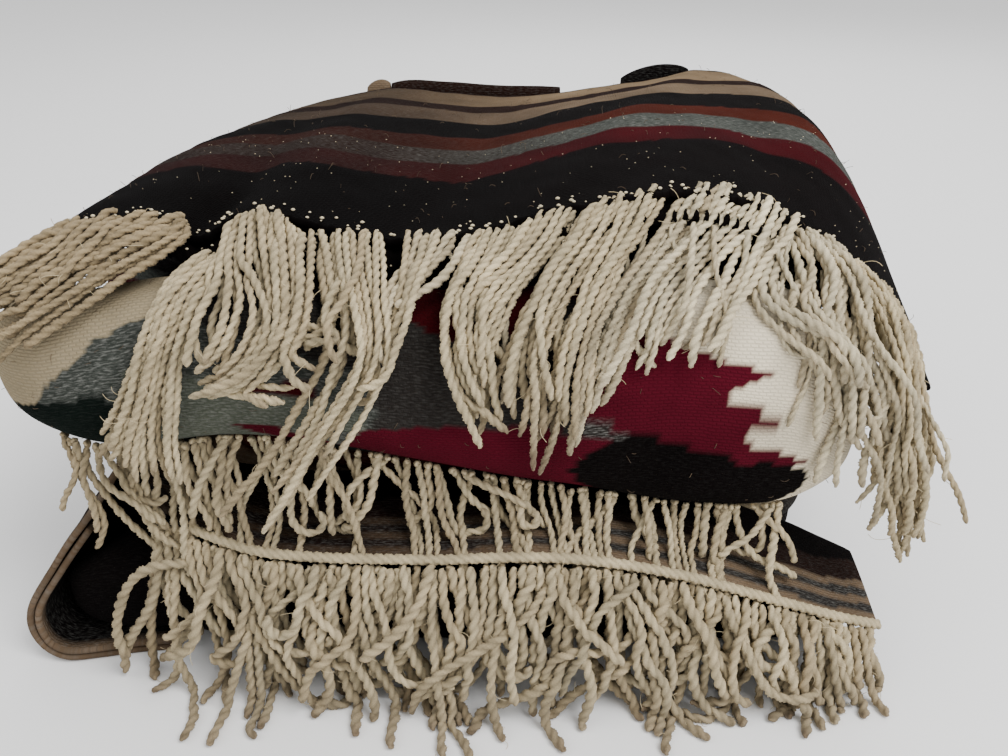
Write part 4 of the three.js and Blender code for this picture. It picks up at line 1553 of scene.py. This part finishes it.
# The guide strands, each from its root at the edge to its tip: x, y, z.
TOP_LOCKS = (
    Lock("fringe_left", "fringe_top_1", 30, (
        ((-210, 30, 228), (-222, 14, 224), (-238, 4, 216), (-246, 0, 210)),
        ((-197, 30, 234), (-210, 14, 230), (-226, 2, 222), (-242, -4, 214)),
        ((-180, 30, 236), (-190, 20, 234), (-202, 8, 224), (-222, -2, 212), (-240, -8, 204)),
        ((-165, 30, 236), (-178, 22, 234), (-192, 8, 224), (-208, 0, 214), (-232, -10, 200)),
        ((-148, 30, 234), (-166, 24, 232), (-182, 10, 225), (-205, 0, 214), (-228, -10, 200)),
        ((-146, 26, 230), (-158, 16, 224), (-174, 4, 217), (-196, -6, 207), (-220, -14, 194),
         (-236, -16, 184)),
    ), 6.0, 4, Wool.YARN_TAN, 0.3, 1),
    Lock("fringe_outer_bunch", "fringe_top_2", 15, (
        ((-137, 16, 222), (-150, 0, 216), (-157, -14, 201), (-168, -20, 176), (-180, -23, 155),
         (-190, -25, 141)),
        ((-133, 16, 222), (-145, -2, 215), (-152, -15, 198), (-162, -20, 172), (-172, -23, 148),
         (-178, -25, 134)),
        ((-127, 14, 221), (-138, -5, 215), (-150, -15, 194), (-158, -20, 168), (-163, -23, 146),
         (-161, -26, 128)),
        ((-124, 14, 221), (-134, -6, 214), (-142, -16, 192), (-146, -20, 166), (-148, -23, 144),
         (-146, -26, 128)),
    ), 3.6, 3, Wool.YARN, 0.15, 2),
    Lock("fringe_big_bunch", "fringe_top_2", 22, (
        ((-127, 27, 229), (-129, 3, 218), (-136, -10, 208), (-139, -17, 196), (-134, -20, 184)),
        ((-120, 31, 238), (-118, 10, 224), (-110, -8, 212), (-118, -16, 196), (-132, -21, 185)),
        ((-112, 32, 239), (-104, 6, 223), (-100, -9, 210), (-108, -17, 195), (-120, -21, 182),
         (-134, -23, 178)),
        ((-104, 30, 236), (-96, 3, 221), (-93, -11, 208), (-100, -18, 192), (-112, -22, 181),
         (-136, -24, 175)),
        ((-98, 28, 231), (-88, 1, 218), (-90, -14, 205), (-98, -20, 190), (-112, -23, 180),
         (-130, -26, 176),
         (-112, -27, 176), (-94, -27, 171), (-84, -27, 174)),
    ), 3.0, 4, Wool.YARN, 0.12, 3),
    Lock("fringe_curls", "fringe_top_3", 10, (
        ((-96, 28, 230), (-89, 4, 222), (-89, -12, 209), (-95, -18, 193), (-91, -21, 177),
         (-76, -23, 174)),
        ((-81, 26, 228), (-70, -4, 215), (-62, -16, 201), (-74, -19, 192), (-86, -18, 202),
         (-80, -14, 214),
         (-66, -12, 213), (-58, -16, 200)),
        ((-66, 27, 229), (-74, 0, 216), (-86, -14, 204), (-80, -20, 190), (-64, -20, 188),
         (-56, -18, 200)),
        ((-51, 26, 228), (-46, 0, 218), (-54, -14, 205), (-48, -18, 188), (-58, -21, 176),
         (-70, -22, 180)),
        ((-30, 27, 228), (-38, 6, 221), (-43, -8, 212), (-52, -16, 196), (-58, -21, 181),
         (-70, -23, 176)),
    ), 6.5, 4, Wool.YARN, 0.3, 4),
    Lock("fringe_long_bunch", "fringe_top_3", 9, (
        ((-84, 26, 228), (-78, -2, 217), (-76, -16, 201), (-78, -21, 184), (-92, -24, 158),
         (-106, -28, 130), (-116, -32, 112)),
        ((-70, 27, 228), (-63, -4, 215), (-58, -16, 201), (-62, -21, 184), (-76, -24, 162),
         (-92, -27, 138), (-110, -32, 113)),
        ((-58, 27, 228), (-52, -4, 215), (-50, -16, 200), (-56, -21, 182), (-68, -24, 160),
         (-82, -27, 140), (-98, -31, 120)),
    ), 4.6, 4, Wool.YARN, 0.3, 5),
    Lock("fringe_valley", "fringe_top_3", 5, (
        ((-44, 27, 228), (-50, 8, 221), (-56, -8, 211), (-62, -17, 196), (-60, -21, 184)),
        ((-26, 27, 228), (-36, 8, 221), (-46, -8, 211), (-52, -17, 196), (-48, -21, 182)),
        ((-16, 28, 228), (-26, 10, 221), (-36, -6, 212), (-40, -14, 202)),
    ), 5.0, 3, Wool.YARN_WHITE, 0.45, 6),
    Lock("fringe_slant_left", "fringe_top_4", 15, (
        ((-11, 28, 228), (-19, 12, 222), (-26, -8, 212), (-27, -18, 193), (-22, -21, 175),
         (-12, -22, 161), (-3, -22, 149)),
        ((-2, 28, 229), (-12, 10, 222), (-18, -8, 212), (-20, -17, 196), (-14, -21, 179),
         (-8, -22, 160)),
        ((14, 30, 234), (4, 18, 226), (-8, -2, 214), (-14, -14, 202), (-12, -20, 186), (-4, -22, 168)),
        ((28, 33, 238), (14, 20, 227), (-2, 0, 217), (-11, -12, 206), (-10, -19, 190), (-6, -22, 172)),
        ((34, 33, 239), (19, 17, 226), (3, -7, 211), (-4, -17, 196), (-6, -21, 179), (-12, -24, 156)),
    ), 5.5, 3, Wool.YARN, 0.3, 7),
    Lock("fringe_slant_middle", "fringe_top_4", 17, (
        ((42, 33, 241), (24, 16, 225), (9, -7, 211), (1, -18, 193), (-2, -22, 169), (3, -24, 146),
         (8, -25, 128)),
        ((50, 35, 243), (28, 20, 226), (15, -3, 214), (8, -17, 196), (12, -22, 169), (18, -24, 150)),
        ((63, 35, 245), (44, 14, 225), (27, -12, 205), (23, -19, 183), (21, -23, 158), (14, -25, 136)),
        ((74, 36, 247), (55, 18, 227), (38, -6, 212), (31, -18, 188), (28, -22, 160), (20, -24, 138)),
    ), 5.5, 4, Wool.YARN, 0.3, 8),
    Lock("fringe_slant_right", "fringe_top_4", 19, (
        ((86, 36, 248), (67, 22, 228), (47, 0, 214), (36, -15, 198), (33, -20, 173),
         (28, -23, 150), (25, -24, 138)),
        ((98, 36, 248), (81, 24, 230), (61, 6, 217), (51, -13, 200), (43, -19, 178), (38, -22, 162)),
        ((109, 36, 246), (91, 26, 230), (69, 3, 214), (60, -13, 200), (54, -18, 182), (43, -21, 166)),
        ((118, 36, 243), (101, 26, 229), (86, 14, 220), (72, -3, 210), (64, -15, 193), (62, -19, 176)),
        ((127, 36, 240), (112, 24, 225), (97, 4, 212), (89, -13, 199), (85, -18, 187)),
        ((138, 36, 235), (119, 22, 221), (104, 2, 208), (95, -15, 196), (83, -20, 188)),
    ), 5.0, 3, Wool.YARN_WHITE, 0.3, 9),
    Lock("fringe_right_curls", "fringe_top_5", 22, (
        ((126, 28, 224), (111, 14, 215), (116, 3, 208), (129, -1, 204), (140, -8, 197),
         (151, -11, 186), (156, -12, 170)),
        ((139, 32, 229), (149, 22, 219), (138, 6, 206), (142, -6, 191), (154, -10, 172),
         (163, -12, 145)),
        ((150, 34, 225), (161, 22, 214), (160, 12, 203), (164, 0, 187), (171, -6, 158),
         (168, -8, 130), (171, -8, 104)),
        ((160, 36, 217), (168, 24, 208), (168, 12, 196), (160, 0, 180), (168, -4, 156),
         (176, -4, 128), (176, -4, 100)),
    ), 9.0, 4, Wool.YARN_WHITE, 0.35, 10),
    Lock("fringe_right_fall", "fringe_top_5", 40, (
        ((166, 38, 212), (174, 26, 204), (180, 12, 190), (183, 4, 163), (187, 0, 127), (188, -2, 90)),
        ((178, 42, 202), (186, 28, 192), (188, 14, 174), (190, 6, 140), (194, 2, 108), (198, 0, 76)),
        ((190, 46, 190), (192, 32, 178), (192, 18, 160), (196, 10, 130), (200, 6, 100), (204, 4, 72)),
        ((204, 50, 173), (207, 36, 156), (208, 24, 134), (209, 16, 104), (208, 12, 76)),
    ), 8.0, 4, Wool.YARN, 0.3, 11),
)


@dataclass
class Fringes:
    """All the fringes: the upper locks, the middle row and the lower row, and the heading cord."""

    top: TopPly
    plies: MiddleAndBottom
    cloth: FrontOfCloth
    upper_yarn: Yarn = Yarn(2.2)
    second_yarn: Yarn = Yarn(1.8)
    lower_yarn: Yarn = Yarn(2.8, 2, 13.0)
    cord_yarn: Yarn = Yarn(3.0, 3, 15.0, 12, 1.6)
    cord_ends: tuple[float, float] = (-156.0, 196.0)
    upper: Array = field(init=False, repr=False)
    lower: Array = field(init=False, repr=False)

    @staticmethod
    def _thin(paths: Array, seed: int) -> Array:
        """The share of the radius along each strand: full, uneven, and drawn out at the tip.

        Args:
            paths: (strands, n, 3) places.
            seed: for each strand's size and unevenness.
        Returns:
            (strands, n) shares.
        """
        rng = np.random.default_rng(seed)
        each = (len(paths), 1)
        t = np.linspace(0, 1, paths.shape[1])
        size = rng.uniform(0.82, 1.12, each)
        turns = t * rng.uniform(2, 6, each) + rng.random(each)
        uneven = 1 + 0.09 * np.sin(2 * np.pi * turns)
        tip = np.clip((1 - t) / 0.04, 0, 1) ** 0.5 * 0.45 + 0.55
        return size * uneven * tip * (0.7 + 0.3 * np.clip(t / 0.05, 0, 1))

    @staticmethod
    def _dye(points: Array, marks: Array, per: int, wool: Wool, seed: int) -> Array:
        """Each strand's own shade, tanned at the far left, and soiled towards the tips.

        Args:
            points: (n, 3) places, strand after strand.
            marks: (n, 2) each point's place along its strand, and its painted shade in the groove between
                plies.
            per: points on each strand.
            wool: the yarn's own colour.
            seed: for the shades.
        Returns:
            (n, 4) linear colours.
        """
        rng = np.random.default_rng(seed)
        along, groove = marks.T
        strands = len(points) // per
        shade = np.repeat(rng.normal(0.97, 0.1, strands), per)[:, None]
        base = np.array(linear(wool.value)) * shade
        tan = np.array(linear(Wool.YARN_TAN.value))
        stain = np.repeat(np.clip(rng.normal(0.22, 0.22, strands), 0, 0.8), per)
        stain = np.clip(stain + np.clip((-165 - points[:, 0]) / 90, 0, 0.5), 0, 0.85)[:, None]
        colour = base * (1 - stain) + tan * stain
        grime = np.array(linear(Wool.GRIME.value))
        # One soiled place in the middle of the upper fringe, and strands darker and browner within 26 mm of
        # the surface, more so further along them.
        spots = 0.75 * np.exp(-(((points[:, 0] - 14) / 16) ** 2 + ((points[:, 2] - 142) / 24) ** 2))
        floor = 0.45 * np.clip((26 - points[:, 2]) / 26, 0, 1) * along
        tips = 0.5 * np.clip((along - 0.93) / 0.07, 0, 1) * np.repeat(rng.random(strands), per)
        dirt = np.clip(spots + floor + tips, 0, 0.85)[:, None]
        # Painted shade: the colour is multiplied by the groove factor, darker between the plies.
        colour = (colour * (1 - dirt) + grime * dirt) * groove[:, None]
        return np.concatenate([colour, np.ones((len(points), 1))], axis=1)

    def _strands(self, make: Maker, name: str, paths: Array, yarn: Yarn, wool: Wool,
                 seed: int) -> bpy.types.Object:
        """Settled paths to one mesh of twisted strands.

        Args:
            make: makes the pieces.
            name: the piece's name.
            paths: (strands, n, 3) places.
            yarn: what they are twisted from.
            wool: its colour.
            seed: for the strands' start angles, sizes and shades.
        Returns:
            The object.
        """
        rng = np.random.default_rng(seed + 50)
        phases = rng.uniform(0, 2 * np.pi, len(paths))
        points, faces, marks = yarn.arrays(paths, phases, self._thin(paths, seed))
        dye = self._dye(points, marks, len(points) // len(paths), wool, seed)
        return make.mesh(name, points, faces, None, dye)

    def build(self, make: Maker) -> list[bpy.types.Object]:
        """Lays, settles and meshes every strand.

        Args:
            make: makes the pieces.
        Returns:
            The objects.
        """
        made = []
        upper = [lock.paths() for lock in TOP_LOCKS]
        sizes = [len(p) for p in upper]
        settled = Settling(3.8).run(np.concatenate(upper), self.cloth)
        self.upper = settled
        starts = np.cumsum([0] + sizes)
        for lock, a, b in zip(TOP_LOCKS, starts[:-1], starts[1:]):
            piece = self._strands(make, lock.name, settled[a:b], self.upper_yarn, lock.wool, lock.seed)
            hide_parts(lock.node)
            made.append(piece)
        made += self._second_row(make)
        made += self._middle_row(make)
        made += self._lower_row(make)
        made.append(self._heading_cord(make))
        return made

    def _second_row(self, make: Maker) -> list[bpy.types.Object]:
        """Short strands from the second ply's edge, which show between the first ply's locks.

        Args:
            make: makes the pieces.
        Returns:
            The object, in a list.
        """
        rng = np.random.default_rng(71)
        xs = np.concatenate([np.arange(20, 100, 11.0), np.arange(112, 204, 6.0)])
        xs = xs + rng.normal(0, 1.0, len(xs))

        def root(x: Array) -> tuple[Array, Array]:
            """Just in front of the second ply's edge."""
            return np.full(x.shape, 23.0), self.top.edge_height(x) - 11

        drop = rng.uniform(30, 70, len(xs))
        lean = np.where(xs < 120, -0.35, 0.1) + rng.normal(0, 0.2, len(xs))
        paths = hanging_row(xs, root, drop, lean, rng.uniform(10, 36, len(xs)), 72)
        paths = Settling(3.3, 14).run(paths, self.cloth)
        piece = self._strands(make, "fringe_second_ply", paths, self.second_yarn, Wool.YARN_WHITE, 73)
        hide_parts("fringe_top_4", "fringe_top_5")
        return [piece]

    def _middle_row(self, make: Maker) -> list[bpy.types.Object]:
        """Short strands from under the pattern fold's lower edge.

        Args:
            make: makes the pieces.
        Returns:
            The objects.
        """
        rng = np.random.default_rng(81)
        low = through(PATTERN_FOLD.stations, "x", "low")
        made = []
        for name, node, xs, long in (
                ("fringe_middle_left", "fringe_middle_1", np.arange(-214, -96, 4.0), (38, 74)),
                ("fringe_middle_right", "fringe_middle_2", np.arange(-92, 140, 4.8), (28, 68))):
            xs = xs + rng.normal(0, 1.6, len(xs))

            def root(x: Array) -> tuple[Array, Array]:
                """Just behind and under the fold's lower edge."""
                return np.full(x.shape, 3.0) + rng.uniform(-2, 6, len(x)), low(x) + 4.0

            drop = rng.uniform(*long, len(xs))
            lean, out = rng.normal(0.1, 0.3, len(xs)), rng.uniform(8, 18, len(xs))
            paths = hanging_row(xs, root, drop, lean, out, 84, 0.28)
            paths = Settling(3.6, 14).run(paths, self.cloth)
            piece = self._strands(make, name, paths, self.upper_yarn, Wool.YARN_COOL, 83)
            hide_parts(node)
            made.append(piece)
        return made

    def _lower_row(self, make: Maker) -> list[bpy.types.Object]:
        """Thick strands that hang from the heading cord to the surface, some of them looped.

        Args:
            make: makes the pieces.
        Returns:
            The objects.
        """
        rng = np.random.default_rng(91)
        plies = self.plies

        def root(x: Array) -> tuple[Array, Array]:
            """Under the heading cord."""
            return plies.lower_front(x) - 4.0 + rng.uniform(-2, 2, len(x)), plies.lower_z(x) - 4.0

        sections = (("fringe_lower_1", -176, -96), ("fringe_lower_2", -94, 6),
                    ("fringe_lower_3", 8, 104), ("fringe_lower_4", 106, 190))
        all_paths, counts = [], []
        for _, left, right in sections:
            xs = np.concatenate([np.arange(left, right, 4.6), np.arange(left + 2, right, 6.5)])
            xs = xs + rng.normal(0, 1.4, len(xs))
            drop = plies.lower_z(xs) * rng.uniform(0.55, 1.25, len(xs)) + rng.uniform(0, 14, len(xs))
            lean = rng.normal(0.0, 0.26, len(xs))
            out = rng.uniform(6, 26, len(xs))
            all_paths.append(hanging_row(xs, root, drop, lean, out, 92 + abs(left)))
            counts.append(len(xs))
        settled = Settling(5.0, 24).run(np.concatenate(all_paths), self.cloth)
        self.lower = settled
        starts = np.cumsum([0] + counts)
        made = []
        for (name, _, _), a, b in zip(sections, starts[:-1], starts[1:]):
            piece = self._strands(make, name + "_yarn", settled[a:b], self.lower_yarn,
                                  Wool.YARN_COOL, 95)
            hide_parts(name)
            made.append(piece)
        return made

    def _heading_cord(self, make: Maker) -> bpy.types.Object:
        """The twisted cord along the lower end's edge.

        Args:
            make: makes the pieces.
        Returns:
            The object.
        """
        x = np.linspace(*self.cord_ends, 160)
        path = np.stack([x, self.plies.lower_front(x) - 3.1, self.plies.lower_z(x) - 1.8], -1)
        path[:, 2] += 0.8 * waves(x, np.zeros(len(x)), 97, 60.0)
        points, faces, marks = self.cord_yarn.arrays(path[None], np.zeros(1), np.ones((1, len(x))))
        # Every place along is set to 0, so the cord has no tip or low darkening, and it keeps the painted
        # shade in its grooves.
        dye = self._dye(points, marks * [0, 1], len(points), Wool.YARN, 98)
        piece = make.mesh("heading_cord_yarn", points, faces, None, dye)
        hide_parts("heading_cord")
        return piece


@dataclass
class SmallFibres:
    """Warp ends that peep through the black wool at the edge, lint, and the loose nap."""

    rows: tuple[tuple[int, float], ...] = ((1, 0.8), (2, 0.5), (4, 0.25))  # grid row, share kept
    pitch: float = 2.2  # between two warp ends, in grid columns
    lint: int = 180
    fibre: Yarn = Yarn(0.16, 2, 50.0, 3, 1.2)
    lowest: float = 0.4  # no fibre's middle is nearer to the surface below

    def specks(self, make: Maker, top: TopPly) -> bpy.types.Object:
        """Small pale knots in rows near both edges, and lint, as joined round beads.

        Args:
            make: makes the pieces.
            top: the plies that they are on.
        Returns:
            The object.
        """
        rng = np.random.default_rng(101)
        places, normals = [], []
        for grid in (top.outer, top.second_outer):
            normal = unit(np.cross(np.gradient(grid, axis=1), np.gradient(grid, axis=0)))
            for row, share in self.rows:
                across = np.arange(2, grid.shape[1] - 2, self.pitch)
                i = across[rng.random(len(across)) < share].astype(int)
                places.append(grid[row, i] + rng.normal(0, 0.8, (len(i), 3)) * [1, 1, 0.2])
                normals.append(normal[row, i])
        lint = top.outer[rng.integers(3, 60, self.lint), rng.integers(5, 175, self.lint)]
        places.append(lint)
        normals.append(np.broadcast_to([0.0, 0.0, 1.0], lint.shape))
        centre = np.concatenate(places) + np.concatenate(normals) * 0.5
        size = np.concatenate([rng.uniform(0.4, 0.95, len(centre) - self.lint),
                               rng.uniform(0.12, 0.3, self.lint)])
        ball, ball_faces = self._bead()
        points = (centre[:, None] + ball[None] * size[:, None, None]).reshape(-1, 3)
        faces = (ball_faces[None] + len(ball) * np.arange(len(centre))[:, None, None]).reshape(-1, 3)
        dye = np.broadcast_to([*linear(Wool.YARN_WHITE.value), 1.0], (len(points), 4))
        return make.mesh("warp_specks", points, faces, None, dye)

    @staticmethod
    def _bead(rings: int = 4, sides: int = 6, height: float = 0.8, width: float = 1.3) -> tuple:
        """A small flat ball of unit size: rings of a few points, closed by a point at each pole.

        Args:
            rings: rows of points between the poles.
            sides: points on each row.
            height: of the poles over the middle.
            width: how much longer it is from left to right.
        Returns:
            Its points and triangles.
        """
        theta, phi = np.meshgrid(np.linspace(0.35, np.pi - 0.35, rings),
                                 np.linspace(0, 2 * np.pi, sides + 1)[:-1], indexing="ij")
        ball = np.stack([np.sin(theta) * np.cos(phi) * width, np.sin(theta) * np.sin(phi),
                         np.cos(theta) * height], -1)
        ball = np.concatenate([ball.reshape(-1, 3), [[0, 0, height], [0, 0, -height]]])
        count = rings * sides
        faces = np.concatenate([halves(grid_faces(rings, sides, wrap=True))[:, [0, 2, 1]],
                                fan(np.arange(sides), count),
                                fan(np.arange(count - sides, count), count + 1)[:, [1, 0, 2]]])
        return ball, faces

    def fuzz(self, make: Maker, name: str,
             grids: Sequence[Array], count: int, wool: Wool,
             lengths: tuple[float, float]) -> bpy.types.Object:
        """Bent fibres standing off the cloth or the yarn: thin three-sided tubes on seeded curves.

        Args:
            make: makes the pieces.
            name: the piece's name.
            grids: the surfaces or strands that they stand on, as grids of places.
            count: fibres on each.
            wool: their colour.
            lengths: the shortest and the longest, in millimetres.
        Returns:
            The object.
        """
        rng = np.random.default_rng(102)
        starts, normals = [], []
        for grid in grids:
            normal = unit(np.cross(np.gradient(grid, axis=1), np.gradient(grid, axis=0)))
            normal *= np.sign(normal[..., 2:3] - normal[..., 1:2] + 1e-6)  # forward or up
            j, i = rng.integers(0, grid.shape[0], count), rng.integers(0, grid.shape[1], count)
            starts.append(grid[j, i])
            normals.append(normal[j, i])
        start, normal = np.concatenate(starts), np.concatenate(normals)
        side = unit(rng.normal(0, 1, start.shape))
        t = np.linspace(0, 1, 6)[None, :, None]
        length = rng.uniform(*lengths, (len(start), 1, 1))
        path = (start[:, None] + normal[:, None] * length * 0.35 * np.sin(t * 2.6)
                + side[:, None] * length * t + np.cross(side, normal)[:, None] * length * 0.3 * t * t)
        path[..., 2] = np.maximum(path[..., 2], self.lowest)
        points, faces, _ = self.fibre.arrays(path, np.zeros(len(path)), np.ones(path.shape[:2]))
        dye = np.broadcast_to([*linear(wool.value), 1.0], (len(points), 4))
        return make.mesh(name, points, faces, None, dye)


# ---- The setting ----


@dataclass
class Setting:
    """Camera, floor and soft light.

    Each light has its name, its place in metres, its size in metres and its power in watts.
    """

    lens: float = 35.7
    tilt: float = np.radians(63)
    camera_place: tuple[float, float, float] = (0.0, -415.0, 381.0)
    lights: tuple[tuple, ...] = (
        ("key", (0.9, -1.0, 1.7), 1.1, 44.0), ("fill", (-1.3, -0.7, 1.2), 1.4, 5.0),
        ("back", (0.4, 1.5, 1.5), 1.5, 16.0))
    aim: tuple[float, float, float] = (0.0, 0.0, 0.12)
    sky: float = 0.95
    board: float = 0.93  # how white the board is
    reach: float = 6.0  # half the board's width, in metres

    def build(self, frame: Frame) -> None:
        """Makes the camera, the lights, the sky and the board.

        Args:
            frame: where the stack stands.
        """
        self._camera(frame)
        self._lights()
        self._board()

    def _camera(self, frame: Frame) -> None:
        """Places the camera in front of the stack, looking a little down on it."""
        scene = bpy.context.scene
        data = bpy.data.cameras.new("camera")
        data.lens = self.lens
        data.sensor_width = 36.0
        camera = bpy.data.objects.new("camera", data)
        camera.location = frame.place(np.array(self.camera_place))
        camera.rotation_euler = (self.tilt, 0.0, 0.0)
        scene.collection.objects.link(camera)
        scene.camera = camera

    def _lights(self) -> None:
        """Places each lamp, turned to the stack, and the white sky."""
        scene = bpy.context.scene
        for name, place, size, power in self.lights:
            light = bpy.data.lights.new(name, "AREA")
            light.size = size
            light.energy = power
            lamp = bpy.data.objects.new(name, light)
            lamp.location = place
            direction = np.array(self.aim) - np.array(place)
            lamp.rotation_euler = (float(np.arccos(-direction[2] / np.linalg.norm(direction))), 0.0,
                                   float(np.arctan2(direction[1], direction[0]) - np.pi / 2))
            scene.collection.objects.link(lamp)
        world = bpy.data.worlds.new("studio")
        world.use_nodes = True
        sky = world.node_tree.nodes["Background"]
        sky.inputs["Color"].default_value = (1.0, 1.0, 1.0, 1.0)
        sky.inputs["Strength"].default_value = self.sky
        scene.world = world

    def _board(self) -> None:
        """Lays the matt white board that the stack lies on."""
        mesh = bpy.data.meshes.new("floor")
        corners = [(-1, -1), (1, -1), (1, 1), (-1, 1)]
        mesh.from_pydata([(x * self.reach, y * self.reach, 0) for x, y in corners], [], [(0, 1, 2, 3)])
        floor = bpy.data.objects.new("floor", mesh)
        material, _, shader = start_material("matt_white_board", 0.9, 0.0)
        # Painted board: plain matt white, so that it only takes the stack's shadow.
        shader.inputs["Base Color"].default_value = (self.board, self.board, self.board, 1.0)
        mesh.materials.append(material)
        bpy.context.scene.collection.objects.link(floor)


def main() -> None:
    logging.basicConfig(level=logging.INFO, format="%(message)s")
    frame_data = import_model()
    LOG.info("nodes %d", len(frame_data["nodes"]))
    frame = Frame.found()
    Setting().build(frame)
    wool = Maker(frame, WeftFacedWool().build())
    yarn = Maker(frame, TwistedYarn().build())
    top = TopPly()
    plies = MiddleAndBottom()
    cloth = top.build(wool) + plies.build(wool)
    cloth += HiddenLayers().build(wool, top) + BackFolds().build(wool, top)
    u, v = np.meshgrid(np.linspace(0, 1, 300), np.linspace(0, 1, 160))
    walls = [top.outer, top.second_outer, PATTERN_FOLD.face(u, v), BOTTOM_FOLD.face(u, v),
             plies.lower_face(0.0)(u, v), plies.loop_face(0.0)(u, v * 0.1)]
    front = FrontOfCloth(walls)
    fringes = Fringes(top, plies, front)
    fringe = fringes.build(yarn)
    small = SmallFibres()
    fringe.append(small.specks(yarn, top))
    fringe.append(small.fuzz(yarn, "loose_nap", [top.outer, PATTERN_FOLD.face(u, v)], 300,
                             Wool.TAUPE, (1.5, 4.5)))
    fringe.append(small.fuzz(yarn, "fringe_hairs", [fringes.upper, fringes.lower], 260,
                             Wool.YARN, (3.0, 11.0)))
    for piece in cloth + fringe:
        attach(piece, "root")
        LOG.info("%s: %d faces", piece.name, len(piece.data.polygons))


if __name__ == "__main__":
    main()
